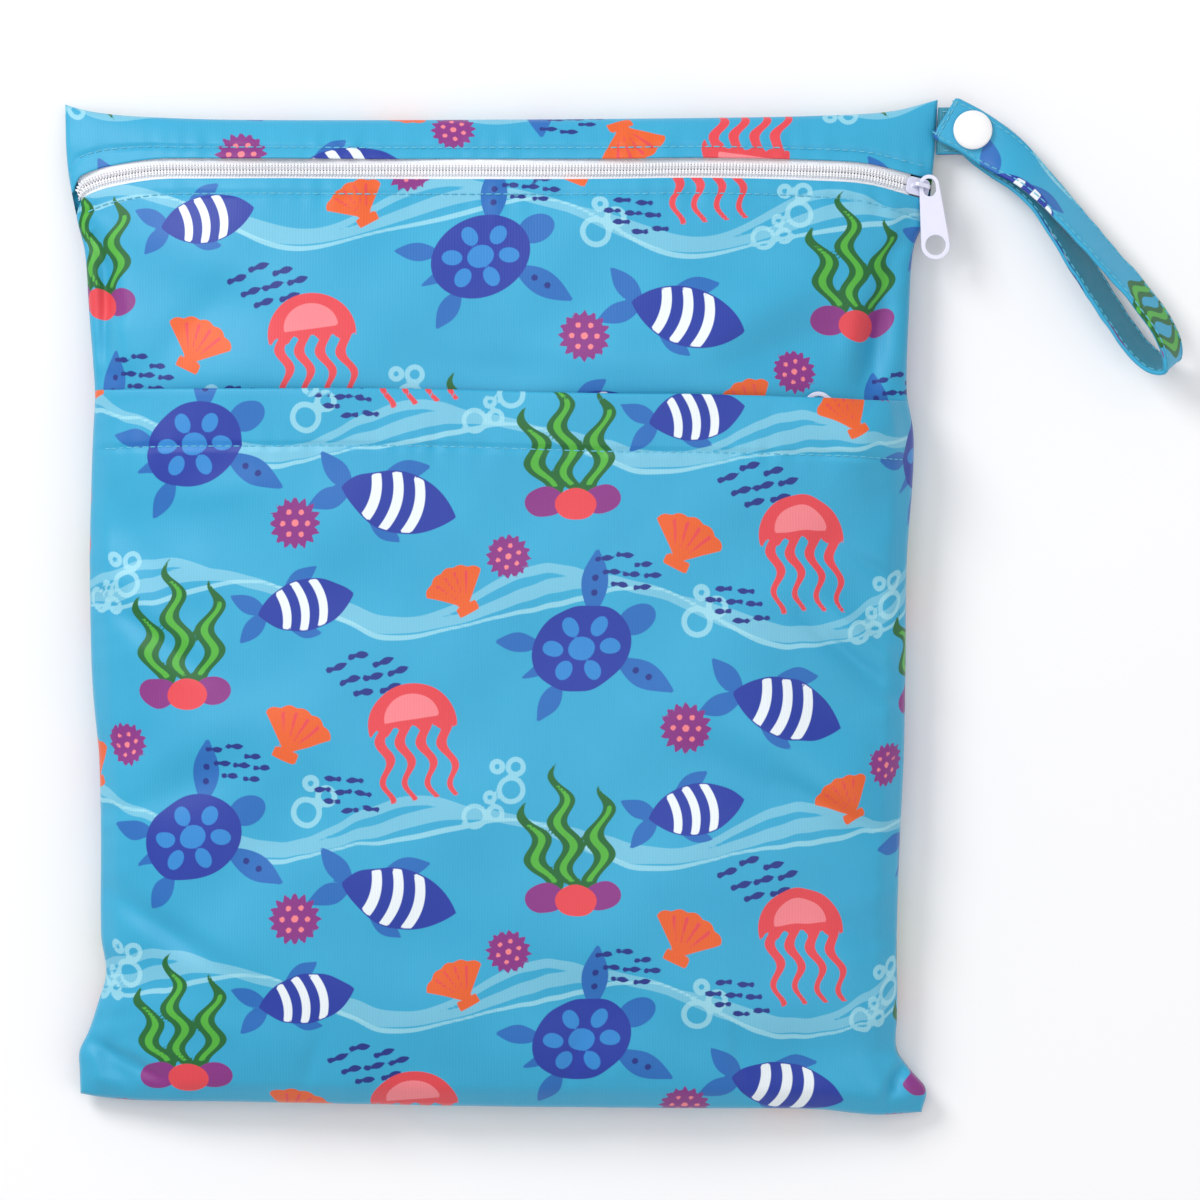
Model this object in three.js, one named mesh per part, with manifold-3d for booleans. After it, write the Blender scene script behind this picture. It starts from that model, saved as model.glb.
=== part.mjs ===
// A wet bag for cloth diapers, lightly filled and lying on its back, with a front pocket and a wrist strap.
// Millimetres. +X is the bag's right, +Y its top edge, +Z up. The origin is the middle of its resting face.

import * as THREE from 'three';
import { mergeVertices } from 'three/addons/utils/BufferGeometryUtils.js';
import Module from 'manifold-3d';

const wasm = await Module();
wasm.setup();

// The bag
const bagWidth = 292;
const bagHeight = 353;
const bagThickness = 44;
const seamHeight = 13;
const cornerDroop = 7.5;
const seamRound = 1.5;
const sideRound = 100;
const endRound = 110;
const restMargin = 38;
const fillPower = 0.7;
const clothWall = 1.2;
const clearance = 0.3;

// The front pocket, whose top edge is a turned hem over its zip
const hemDepth = 20.5;
const hemTaper = 20;
const pocketEase = 2.4;
const pocketRise = 8;
const pocketDepth = 6;
const pocketSlope = 40;
const flapApproach = 12;

// The zips
const zipSlot = 7.4;
const tapeWidth = 10;
const tapeThickness = 0.9;
const tapeGap = 2.8;
const coilWidth = 5;
const coilHeight = 1.3;
const zipInset = 7;
const coilBack = 1;
const tapeDrop = 0.8;
const pocketZipWidth = 14;
const pocketZipBelow = 13;
const pocketZipInset = 20;

// The main slider and its bridge
const sliderLength = 8.6;
const sliderCorner = 1.6;
const sliderPlate = 1.2;
const sliderFoot = 0.9;
const bridgeWidth = 1.5;
const bridgeThickness = 1.3;
const bridgeGap = 3;
const bridgeSpan = 3.2;
const bridgeCorner = 0.8;
const bridgePlace = 0.56;
const tapeTuck = 1.5;
const sliderFromSide = 8.6;

// The pulls
const pullLength = 30.6;
const pullTopWidth = 7.2;
const pullEndWidth = 10.4;
const pullThickness = 1.4;
const pullEyeWidth = 4.4;
const pullEyeLength = 6.4;
const pullHole = 7.2;
const pullLift = 0.9;
const pullHeading = -84;

// The pocket's slider, hidden under the flap
const pocketSliderFromSide = 15;
const pocketSliderLength = 7;
const pocketSliderHeight = 1.8;
const pocketPullHeading = 144;
const pocketPullLift = 0.7;
const pocketBulge = 8;
const pocketBulgeEnd = 3;
const pocketBulgeRadius = 16;

// The wrist strap and its press snap
const strapWidth = 17;
const strapThickness = 1.8;
const strapReach = 114;
const strapHeading = -50;
const strapUp = 0.968;
const snapReach = 12.6;
const capDiameter = 14;
const capHeight = 2.2;
const postDiameter = 3;
const socketDiameter = 11;
const socketHeight = 2.2;
const flangeHeight = 0.8;
const knobDiameter = 4.4;
const snapEdge = 0.7;

// How far the outline stands out past the plain rectangle, as shares of the bag's width
const sideRows = [
  { up: 0.0, left: 0.016, right: 0.019 },
  { up: 0.024, left: 0.0165, right: 0.024 },
  { up: 0.044, left: 0.0165, right: 0.004 },
  { up: 0.064, left: 0.0054, right: -0.0119 },
  { up: 0.095, left: -0.007, right: -0.0119 },
  { up: 0.125, left: -0.0165, right: -0.0115 },
  { up: 0.166, left: -0.0106, right: -0.0125 },
  { up: 0.268, left: -0.0106, right: -0.009 },
  { up: 0.349, left: -0.0085, right: -0.004 },
  { up: 0.431, left: 0.0, right: -0.002 },
  { up: 0.553, left: 0.003, right: 0.0 },
  { up: 0.63, left: 0.001, right: 0.007 },
  { up: 0.675, left: -0.001, right: 0.008 },
  { up: 0.716, left: -0.0032, right: 0.0 },
  { up: 0.797, left: 0.0042, right: 0.003 },
  { up: 0.853, left: 0.0095, right: 0.0085 },
  { up: 0.884, left: 0.019, right: 0.0245 },
  { up: 0.94, left: 0.0315, right: 0.0338 },
  { up: 1.0, left: 0.035, right: 0.039 },
];

// How far the top and bottom edges stand out, as shares of the bag's height
const endRows = [
  { across: 0.0, top: 0.0165, bottom: -0.01 },
  { across: 0.032, top: 0.0092, bottom: -0.006 },
  { across: 0.081, top: 0.0041, bottom: -0.0035 },
  { across: 0.2, top: 0.0, bottom: -0.0025 },
  { across: 0.5, top: 0.0, bottom: 0.002 },
  { across: 0.75, top: 0.002, bottom: 0.004 },
  { across: 0.87, top: 0.0046, bottom: 0.005 },
  { across: 0.944, top: 0.0092, bottom: 0.0112 },
  { across: 1.0, top: 0.0215, bottom: 0.009 },
];

// Height of the zip's middle line and of the pocket's folded edge, as shares of the bag's height
const lineRows = [
  { across: 0.0, zip: 0.9, pocket: 0.7188 },
  { across: 0.015, zip: 0.92, pocket: 0.72 },
  { across: 0.06, zip: 0.938, pocket: 0.7231 },
  { across: 0.13, zip: 0.948, pocket: 0.7248 },
  { across: 0.4, zip: 0.949, pocket: 0.7252 },
  { across: 0.63, zip: 0.948, pocket: 0.7195 },
  { across: 0.74, zip: 0.948, pocket: 0.7184 },
  { across: 0.87, zip: 0.943, pocket: 0.7154 },
  { across: 0.93, zip: 0.9355, pocket: 0.7131 },
  { across: 1.0, zip: 0.909, pocket: 0.7068 },
];

// Soft folds from one point to another: places and widths as shares of the bag's width and height,
// depth as a share of its thickness, below zero for a hollow
const foldRows = [
  { fromAcross: 0.0, fromUp: 0.9, toAcross: 0.03, toUp: 0.8, width: 0.014, depth: -0.05 },
  { fromAcross: 0.025, fromUp: 0.84, toAcross: 0.02, toUp: 0.74, width: 0.014, depth: -0.05 },
  { fromAcross: 0.985, fromUp: 0.86, toAcross: 0.95, toUp: 0.73, width: 0.02, depth: -0.05 },
  { fromAcross: 0.9, fromUp: 0.56, toAcross: 0.985, toUp: 0.47, width: 0.03, depth: -0.035 },
  { fromAcross: 0.86, fromUp: 0.43, toAcross: 0.98, toUp: 0.36, width: 0.035, depth: -0.03 },
  { fromAcross: 0.02, fromUp: 0.6, toAcross: 0.12, toUp: 0.5, width: 0.03, depth: -0.03 },
  { fromAcross: 0.0, fromUp: 0.07, toAcross: 0.06, toUp: 0.02, width: 0.016, depth: -0.06 },
  { fromAcross: 0.985, fromUp: 0.06, toAcross: 0.96, toUp: 0.0, width: 0.014, depth: -0.05 },
  { fromAcross: 0.06, fromUp: 0.14, toAcross: 0.2, toUp: 0.26, width: 0.04, depth: -0.03 },
];

// The strap's middle line from the tab's end round the loop to its root. along and side are shares of
// strapReach from the snap. upper is 1 on the tab's level and 0 on the root's, lift is a share of
// strapWidth above that, tilt is the band's lean in degrees, and width a share of strapWidth
const strapRows = [
  { along: -0.09, side: -0.042, upper: 1, lift: 0, tilt: 0, width: 0.93 },
  { along: -0.078, side: -0.038, upper: 1, lift: 0, tilt: 0, width: 1 },
  { along: 0, side: -0.006, upper: 1, lift: 0, tilt: 0, width: 1 },
  { along: 0.07, side: 0.0145, upper: 1, lift: 0, tilt: 0, width: 1 },
  { along: 0.125, side: 0.03, upper: 1, lift: 0.03, tilt: 14, width: 1 },
  { along: 0.19, side: 0.044, upper: 1, lift: 0.09, tilt: 33, width: 1 },
  { along: 0.29, side: 0.055, upper: 1, lift: 0.18, tilt: 48, width: 1 },
  { along: 0.43, side: 0.06, upper: 1, lift: 0.27, tilt: 54, width: 1 },
  { along: 0.58, side: 0.063, upper: 1, lift: 0.3, tilt: 57, width: 1 },
  { along: 0.73, side: 0.066, upper: 1, lift: 0.3, tilt: 57, width: 1 },
  { along: 0.86, side: 0.056, upper: 1, lift: 0.27, tilt: 57, width: 1 },
  { along: 0.935, side: 0.032, upper: 0.75, lift: 0.25, tilt: 57, width: 1 },
  { along: 0.965, side: 0.003, upper: 0.5, lift: 0.24, tilt: 57, width: 1 },
  { along: 0.94, side: -0.026, upper: 0.25, lift: 0.22, tilt: 57, width: 1 },
  { along: 0.87, side: -0.041, upper: 0, lift: 0.22, tilt: 57, width: 1 },
  { along: 0.73, side: -0.032, upper: 0, lift: 0.22, tilt: 57, width: 1 },
  { along: 0.58, side: -0.013, upper: 0, lift: 0.21, tilt: 55, width: 1 },
  { along: 0.43, side: 0.014, upper: 0, lift: 0.2, tilt: 50, width: 1 },
  { along: 0.31, side: 0.033, upper: 0, lift: 0.16, tilt: 44, width: 1 },
  { along: 0.21, side: 0.035, upper: 0, lift: 0.08, tilt: 26, width: 1 },
  { along: 0.135, side: 0.0225, upper: 0, lift: 0.02, tilt: 9, width: 1 },
  { along: 0.07, side: 0.008, upper: 0, lift: 0, tilt: 0, width: 1 },
  { along: 0, side: -0.008, upper: 0, lift: 0, tilt: 0, width: 1 },
];

// How finely the cloth and the strap are divided
const columnsAcross = 13;
const strapSteps = 52;
const pocketRows = 9;
const upperRows = 4;

// What follows from the driving dimensions
const nest = clothWall + 2 * clearance;
const crown = bagThickness - seamHeight - seamRound - clearance / 2 - nest - pocketEase;
const sliderWidth = zipSlot - 3 * clearance;
const tapeOffset = -(clothWall + tapeDrop);
const snapGap = clearance * 2 + socketHeight + flangeHeight;

// Materials
const printedCloth = new THREE.MeshStandardMaterial({ color: 0x4fb8d6, roughness: 0.6, metalness: 0 });
const pocketCloth = new THREE.MeshStandardMaterial({ color: 0x46aecf, roughness: 0.6, metalness: 0 });
const zipWhite = new THREE.MeshStandardMaterial({ color: 0xdcdce4, roughness: 0.7, metalness: 0 });
const pullLacquer = new THREE.MeshStandardMaterial({ color: 0xd0d0e0, roughness: 0.35, metalness: 0 });
const snapResin = new THREE.MeshStandardMaterial({ color: 0xdadada, roughness: 0.3, metalness: 0 });

const ease = (t) => THREE.MathUtils.smoothstep(t, 0, 1);

// A smooth curve through one column of a table
function readColumn(rows, key, name, at) {
  const last = rows.length - 1;
  const above = rows.findIndex((row) => row[key] > at);
  const start = above < 0 ? last - 1 : Math.max(above - 1, 0);
  const slope = (index) => {
    const low = rows[Math.max(index - 1, 0)];
    const high = rows[Math.min(index + 1, last)];
    return (high[name] - low[name]) / (high[key] - low[key]);
  };
  const span = rows[start + 1][key] - rows[start][key];
  const t = THREE.MathUtils.clamp((at - rows[start][key]) / span, 0, 1);
  const fromWeight = 1 - 3 * t * t + 2 * t * t * t;
  const leave = (t - 2 * t * t + t * t * t) * span * slope(start);
  const arrive = (t * t * t - t * t) * span * slope(start + 1);
  return fromWeight * rows[start][name] + (1 - fromWeight) * rows[start + 1][name] + leave + arrive;
}

const zipUp = (across) => readColumn(lineRows, 'across', 'zip', across);
const pocketUp = (across) => readColumn(lineRows, 'across', 'pocket', across);
const sideDistance = (across) => Math.min(across, 1 - across) * bagWidth;
const endDistance = (up) => Math.min(up, 1 - up) * bagHeight;

// Plan position of a point given as shares of the bag's width and height
function outline(across, up) {
  const toRight = ease(2 * across - 1) * readColumn(sideRows, 'up', 'right', up);
  const toLeft = ease(1 - 2 * across) * readColumn(sideRows, 'up', 'left', up);
  const toTop = ease(2 * up - 1) * readColumn(endRows, 'across', 'top', across);
  const toBottom = ease(1 - 2 * up) * readColumn(endRows, 'across', 'bottom', across);
  return [(across - 0.5 + toRight - toLeft) * bagWidth, (up - 0.5 + toTop - toBottom) * bagHeight];
}

// The seam sinks towards the corners
function seamLevel(across, up) {
  const cornerShare = Math.abs((2 * across - 1) * (2 * up - 1)) ** 4;
  return seamHeight - cornerDroop * cornerShare;
}

// The quarter round of a rolled edge, 0 at the edge and 1 from seamRound inward
const roll = (distance) => Math.sqrt(1 - (1 - THREE.MathUtils.clamp(distance / seamRound, 0, 1)) ** 2);

// The swell of the filling, 0 at the edge and 1 from the given distance inward
function swell(distance, reach) {
  const inward = THREE.MathUtils.clamp(distance / reach, 0, 1);
  return (1 - (1 - inward) ** 2) ** fillPower;
}

// A soft fold's height at a point
function foldHeight(row, across, up) {
  const onBag = (x, y) => new THREE.Vector2((x - row.fromAcross) * bagWidth, (y - row.fromUp) * bagHeight);
  const run = onBag(row.toAcross, row.toUp);
  const at = onBag(across, up);
  const along = THREE.MathUtils.clamp(at.dot(run) / run.lengthSq(), 0, 1);
  const away = at.addScaledVector(run, -along).length() / (row.width * bagWidth);
  return row.depth * bagThickness * Math.exp(-away * away);
}

// The front's level without its rolled edge
function frontLevel(across, up) {
  const side = sideDistance(across);
  const end = endDistance(up);
  const filled = crown * swell(side, sideRound) * swell(end, endRound);
  const fade = ease(Math.min(side, end) / flapApproach);
  const folds = foldRows.reduce((sum, row) => sum + foldHeight(row, across, up), 0);
  return seamLevel(across, up) + clearance / 2 + filled + folds * fade;
}

function frontPoint(across, up, rim, lift) {
  const [x, y] = outline(across, up);
  return new THREE.Vector3(x, y, frontLevel(across, up) + seamRound * roll(rim) + lift);
}

// A point off the front's face, square to it
function offFront(across, up, offset, lift = () => 0) {
  const step = seamRound / bagHeight / 2;
  const at = (a, b) => frontPoint(a, b, seamRound, lift(a, b));
  const acrossRun = at(across + step, up).sub(at(across - step, up));
  const upRun = at(across, up + step).sub(at(across, up - step));
  const normal = acrossRun.cross(upRun).normalize();
  return { point: at(across, up).addScaledVector(normal, offset), normal };
}

// How much of the way behind the pocket a point of the front is
const behindPocket = (across, up) => 1 - ease(((up - pocketUp(across)) * bagHeight) / flapApproach);

// The pocket's hollow: the front sinks behind it, to its full depth from pocketSlope inward
function pocketSink(across, up) {
  const below = ease(((pocketUp(across) - up) * bagHeight + flapApproach / 2) / pocketSlope);
  const inward = ease(sideDistance(across) / pocketSlope) * ease((up * bagHeight) / pocketSlope);
  return pocketDepth * below * inward;
}

// The middle line of the pocket's zip, and the middle of its slider
const pocketZipUp = (across) => pocketUp(across) - pocketZipBelow / bagHeight;
const pocketSliderAcross = 1 - (pocketSliderFromSide + pocketSliderLength / 2) / bagWidth;
const pocketPullTurn = THREE.MathUtils.degToRad(pocketPullHeading);
const pocketPullWay = new THREE.Vector2(Math.cos(pocketPullTurn), Math.sin(pocketPullTurn));

// The bulge over the pocket's slider and pull, which lie under the flap's right end
function pocketBulgeLift(across, up) {
  const run = pocketPullWay.clone().multiplyScalar(pullLength);
  const fromSlider = (across - pocketSliderAcross) * bagWidth;
  const at = new THREE.Vector2(fromSlider, (up - pocketZipUp(pocketSliderAcross)) * bagHeight);
  const along = THREE.MathUtils.clamp(at.dot(run) / run.lengthSq(), 0, 1);
  const away = at.addScaledVector(run, -along).length() / pocketBulgeRadius;
  const full = THREE.MathUtils.lerp(pocketBulge, pocketBulgeEnd, along);
  return full * Math.exp(-away * away) * ease(sideDistance(across) / pocketRise);
}

// How far the pocket stands above the front
function pocketLift(across, up) {
  const eased = pocketEase * ease(sideDistance(across) / pocketRise) * ease((up * bagHeight) / pocketRise);
  return nest + eased + pocketBulgeLift(across, up);
}

// Distances from a seamed edge to the middle and on to the other edge, close together at the roll
const rollSteps = [0, 0.15, 0.5, 1].map((share) => share * seamRound);

function between(from, to, count, shape = (t) => t) {
  const shares = Array.from({ length: count }, (_, index) => (index + 1) / (count + 1));
  return shares.map((share) => THREE.MathUtils.lerp(from, to, shape(share)));
}

const bothEnds = (t) => (1 - Math.cos(Math.PI * t)) / 2;
const nearEnd = (t) => 1 - Math.cos((Math.PI * t) / 2);

function seamToSeam(length, count) {
  const middle = between(seamRound, length - seamRound, count, bothEnds);
  return [...rollSteps, ...middle, ...rollSteps.map((step) => length - step).reverse()];
}

// Rows of the cloth from above the bottom seam to the zip's slot, shared so that neighbours match
function sharedUps(across) {
  const bottom = (nest + seamRound) / bagHeight;
  const fold = pocketUp(across);
  const hem = fold - hemDepth / bagHeight;
  const clear = fold + flapApproach / bagHeight;
  const zipEdge = zipUp(across) - zipSlot / 2 / bagHeight;
  return {
    pocket: [...between(bottom, hem, pocketRows, nearEnd), hem],
    hem: between(hem, fold, 1),
    upper: [fold, (fold + clear) / 2, clear, ...between(clear, zipEdge, upperRows), zipEdge],
  };
}

// A solid from two facing grids of points, closed round their edge
function solidBetween(outer, inner) {
  const rows = outer.length;
  const columns = outer[0].length;
  const corner = (grid, row, column) => (grid * rows + row) * columns + column;
  const positions = [...outer.flat(), ...inner.flat()].flatMap((point) => [point.x, point.y, point.z]);
  const faces = [];
  const quad = (a, b, c, d) => faces.push(a, b, c, a, c, d);
  for (let row = 0; row < rows - 1; row += 1) {
    for (let column = 0; column < columns - 1; column += 1) {
      const ring = [[row, column], [row, column + 1], [row + 1, column + 1], [row + 1, column]];
      quad(...ring.map(([r, c]) => corner(0, r, c)));
      quad(...ring.map(([r, c]) => corner(1, r, c)).reverse());
    }
  }
  const edge = [];
  for (let column = 0; column < columns - 1; column += 1) edge.push([0, column]);
  for (let row = 0; row < rows - 1; row += 1) edge.push([row, columns - 1]);
  for (let column = columns - 1; column > 0; column -= 1) edge.push([rows - 1, column]);
  for (let row = rows - 1; row > 0; row -= 1) edge.push([row, 0]);
  edge.forEach(([row, column], index) => {
    const [nextRow, nextColumn] = edge[(index + 1) % edge.length];
    quad(
      corner(0, nextRow, nextColumn),
      corner(0, row, column),
      corner(1, row, column),
      corner(1, nextRow, nextColumn),
    );
  });
  return outwardGeometry(positions, faces);
}

// An indexed geometry whose faces point out
function outwardGeometry(positions, faces) {
  const vertex = (index) => new THREE.Vector3().fromArray(positions, index * 3);
  let volume = 0;
  for (let index = 0; index < faces.length; index += 3) {
    const [a, b, c] = faces.slice(index, index + 3).map(vertex);
    volume += a.dot(b.cross(c));
  }
  const turned = volume < 0 ? faces.slice().reverse() : faces;
  const geometry = new THREE.BufferGeometry();
  geometry.setAttribute('position', new THREE.Float32BufferAttribute(positions, 3));
  geometry.setIndex(turned);
  geometry.computeVertexNormals();
  return geometry;
}

// A wall of cloth inward from a grid of outer points. side is 1 where rows then columns turn outward.
// seams gives the level normal of a point on a seamed edge, or nothing elsewhere
function clothSolid(outer, side, seams, wall) {
  const rows = outer.length;
  const columns = outer[0].length;
  const inner = outer.map((line, row) => line.map((point, column) => {
    const left = line[Math.max(column - 1, 0)];
    const right = line[Math.min(column + 1, columns - 1)];
    const below = outer[Math.max(row - 1, 0)][column];
    const above = outer[Math.min(row + 1, rows - 1)][column];
    const acrossRun = new THREE.Vector3().subVectors(right, left);
    const upRun = new THREE.Vector3().subVectors(above, below);
    const normal = seams(row, column) ?? acrossRun.cross(upRun).normalize().multiplyScalar(side);
    return point.clone().addScaledVector(normal, -wall(row, column));
  }));
  return solidBetween(outer, inner);
}

// Level normals for the seamed edges of a grid: both sides, and the rows named first and last
function seamNormals(rows, columns, first, last) {
  return (row, column) => {
    const x = Number(column === columns - 1) - Number(column === 0);
    const y = Number(last && row === rows - 1) - Number(first && row === 0);
    return x === 0 && y === 0 ? undefined : new THREE.Vector3(x, y, 0).normalize();
  };
}

function named(name, geometry, material) {
  const mesh = new THREE.Mesh(geometry, material);
  mesh.name = name;
  return mesh;
}

// Back panel: from the bottom seam along the back, round the folded top edge and down to the zip
function backPanel() {
  const lines = seamToSeam(bagWidth, columnsAcross).map((side) => {
    const across = side / bagWidth;
    const rim = Math.min(side, bagWidth - side);
    const zipEdge = (1 - zipUp(across)) * bagHeight - zipSlot / 2;
    const { pocket, hem, upper } = sharedUps(across);
    const sharedSteps = [...pocket, ...hem, ...upper].map((up) => up * bagHeight);
    const topSteps = rollSteps.map((step) => bagHeight - step).reverse();
    const toTop = between(sharedSteps.at(-1), topSteps[0], 2);
    const backSteps = [...rollSteps, ...sharedSteps, ...toTop, ...topSteps];
    const bandSteps = [...rollSteps.slice(1), ...between(seamRound, zipEdge, 3), zipEdge];
    const back = backSteps.map((distance) => {
      const up = distance / bagHeight;
      const end = bagHeight - distance;
      const [x, y] = outline(across, up);
      const edge = seamRound * roll(Math.min(rim, distance, end)) + (clearance / 2) * roll(end);
      const flat = swellKeel(rim) * swellKeel(Math.min(distance, end));
      const hang = (seamLevel(across, up) - seamRound - clearance / 2) * flat;
      return new THREE.Vector3(x, y, Math.max(seamLevel(across, up) - edge - hang, 0));
    });
    const band = bandSteps.map((distance) => {
      const up = 1 - distance / bagHeight;
      const point = frontPoint(across, up, Math.min(rim, distance), 0);
      point.z -= (clearance / 2) * (1 - roll(distance));
      return point;
    });
    return [...back, ...band];
  });
  const outer = lines[0].map((_, row) => lines.map((line) => line[row]));
  const seams = seamNormals(outer.length, outer[0].length, true, false);
  return clothSolid(outer, -1, seams, () => clothWall);
}

// The share of the way down to the resting face
const swellKeel = (distance) => 1 - (1 - THREE.MathUtils.clamp(distance / restMargin, 0, 1)) ** 2;

// Front panel: from the bottom seam to the zip, nested inside the pocket where that covers it
function frontPanel() {
  const lines = seamToSeam(bagWidth, columnsAcross).map((side) => {
    const share = side / bagWidth;
    const bottom = nest / bagHeight;
    const { pocket, hem, upper } = sharedUps(share);
    const ups = [...rollSteps.map((step) => bottom + step / bagHeight), ...pocket, ...hem, ...upper];
    return ups.map((up) => {
      const inset = (nest * behindPocket(share, up)) / bagWidth;
      const across = THREE.MathUtils.lerp(inset, 1 - inset, share);
      const rim = Math.min(side, bagWidth - side, (up - bottom) * bagHeight);
      return frontPoint(across, up, rim, -pocketSink(across, up));
    });
  });
  const outer = lines[0].map((_, row) => lines.map((line) => line[row]));
  const seams = seamNormals(outer.length, outer[0].length, true, false);
  return clothSolid(outer, 1, seams, () => clothWall);
}

// Pocket panel: from the bottom seam to its folded edge, doubled along the hem
function pocketPanel() {
  const lines = seamToSeam(bagWidth, columnsAcross).map((side) => {
    const across = side / bagWidth;
    const { pocket, hem, upper } = sharedUps(across);
    const hemStart = pocket.at(-1) + seamRound / bagHeight;
    const ups = [...rollSteps.map((step) => step / bagHeight), ...pocket, hemStart, ...hem, upper[0]];
    return ups.map((up) => {
      const rim = Math.min(side, bagWidth - side, up * bagHeight);
      return frontPoint(across, up, rim, pocketLift(across, up) * roll(rim));
    });
  });
  const outer = lines[0].map((_, row) => lines.map((line) => line[row]));
  const seams = seamNormals(outer.length, outer[0].length, true, false);
  const hemRow = rollSteps.length + pocketRows;
  const sides = seamToSeam(bagWidth, columnsAcross);
  const turned = sides.map((side) => ease(sideDistance(side / bagWidth) / hemTaper));
  const wall = (row, column) => clothWall * (1 + (row > hemRow ? turned[column] : 0));
  return clothSolid(outer, 1, seams, wall);
}

// A flat strip along a line of the front, between two distances across the line
function stripAlong(line, from, to, offsets, top, thickness, lift) {
  const columns = seamToSeam(bagWidth, columnsAcross).map((side) => side / bagWidth);
  const edges = [from, ...columns.filter((across) => across > from && across < to), to];
  const face = (depth) => offsets.map((offset) => edges.map((across) => {
    const up = line(across) + offset / bagHeight;
    return offFront(across, up, depth, lift).point;
  }));
  return solidBetween(face(top), face(top - thickness));
}

const zipStart = zipInset / bagWidth;
const zipMouth = 1 - (sliderFromSide + clearance) / bagWidth;
const tapeEnd = zipMouth + tapeTuck / bagWidth;

function zipTape(side) {
  const inner = (side * tapeGap) / 2;
  const offsets = [inner, inner + (side * tapeWidth) / 3, inner + side * tapeWidth];
  return stripAlong(zipUp, zipStart, tapeEnd, offsets, tapeOffset, tapeThickness);
}

function zipCoil() {
  const offsets = [-coilWidth / 2, 0, coilWidth / 2];
  const top = tapeOffset + clearance + coilHeight;
  return stripAlong(zipUp, zipStart, zipMouth - coilBack / bagWidth, offsets, top, coilHeight);
}

const pocketStripTop = tapeDrop + tapeThickness;
const sunkFront = (across, up) => -pocketSink(across, up);

function pocketZip() {
  const offsets = [-pocketZipWidth / 2, 0, pocketZipWidth / 2];
  const from = pocketZipInset / bagWidth;
  const to = 1 - pocketSliderFromSide / bagWidth;
  return stripAlong(pocketZipUp, from, to, offsets, pocketStripTop, tapeThickness, sunkFront);
}

// A closed mesh as a solid for joining and cutting
function solidOf(geometry) {
  const bare = geometry.clone();
  bare.deleteAttribute('normal');
  bare.deleteAttribute('uv');
  const merged = mergeVertices(bare, 1e-4);
  return new wasm.Manifold(new wasm.Mesh({
    numProp: 3,
    vertProperties: Float32Array.from(merged.attributes.position.array),
    triVerts: Uint32Array.from(merged.index.array),
  }));
}

function geometryOf(solid) {
  const { vertProperties, triVerts } = solid.getMesh();
  const geometry = new THREE.BufferGeometry();
  geometry.setAttribute('position', new THREE.BufferAttribute(Float32Array.from(vertProperties), 3));
  geometry.setIndex(Array.from(triVerts));
  return geometry;
}

function roundedPlate(length, width, radius) {
  const shape = new THREE.Shape();
  const half = width / 2 - radius;
  shape.absarc(length - radius, half, radius, Math.PI / 2, 0, true);
  shape.absarc(length - radius, -half, radius, 0, -Math.PI / 2, true);
  shape.absarc(radius, -half, radius, -Math.PI / 2, -Math.PI, true);
  shape.absarc(radius, half, radius, Math.PI, Math.PI / 2, true);
  return shape;
}

function extruded(shape, depth, from) {
  const geometry = new THREE.ExtrudeGeometry(shape, { depth, bevelEnabled: false, curveSegments: 4 });
  return geometry.translate(0, 0, from);
}

// Main slider in its own axes: x from its mouth along the zip, y across, z up from the tapes' face
const slotBelow = tapeThickness + clearance;
const plateTop = clearance + sliderPlate;
const bridgeMiddle = sliderLength * bridgePlace;
const hingeHeight = plateTop + pullLift + pullThickness / 2;

function zipSlider() {
  const outlineShape = roundedPlate(sliderLength, sliderWidth, sliderCorner);
  const plate = extruded(outlineShape, sliderPlate, clearance);
  const foot = extruded(outlineShape, sliderFoot, -slotBelow - sliderFoot);
  const neckFrom = tapeTuck + 2 * clearance;
  const neckTo = sliderLength - sliderCorner;
  const neckTall = slotBelow + clearance + sliderFoot;
  const neck = new THREE.BoxGeometry(neckTo - neckFrom, tapeGap - 2 * clearance, neckTall);
  neck.translate((neckTo + neckFrom) / 2, 0, (clearance - slotBelow) / 2);
  const bridge = new THREE.Shape();
  const outerHalf = bridgeSpan / 2 + bridgeThickness;
  const top = bridgeGap + bridgeThickness;
  const sink = -sliderPlate / 2;
  bridge.moveTo(-outerHalf, sink);
  bridge.lineTo(-outerHalf, top - bridgeCorner);
  bridge.lineTo(-outerHalf + bridgeCorner, top);
  bridge.lineTo(outerHalf - bridgeCorner, top);
  bridge.lineTo(outerHalf, top - bridgeCorner);
  bridge.lineTo(outerHalf, sink);
  bridge.lineTo(bridgeSpan / 2, sink);
  bridge.lineTo(bridgeSpan / 2, bridgeGap);
  bridge.lineTo(-bridgeSpan / 2, bridgeGap);
  bridge.lineTo(-bridgeSpan / 2, sink);
  bridge.closePath();
  const arch = extruded(bridge, bridgeWidth, -bridgeWidth / 2);
  arch.rotateX(Math.PI / 2);
  arch.translate(bridgeMiddle, 0, plateTop);
  return geometryOf(solidOf(plate).add(solidOf(foot)).add(solidOf(neck)).add(solidOf(arch)));
}

// Pull in its own axes: its left rail's middle line is the y axis, and it hangs towards -y
const railWidth = (pullTopWidth - pullEyeWidth) / 2;
const pullMiddle = pullEyeWidth / 2 + railWidth / 2;
const eyeDrop = 0.7;

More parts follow.
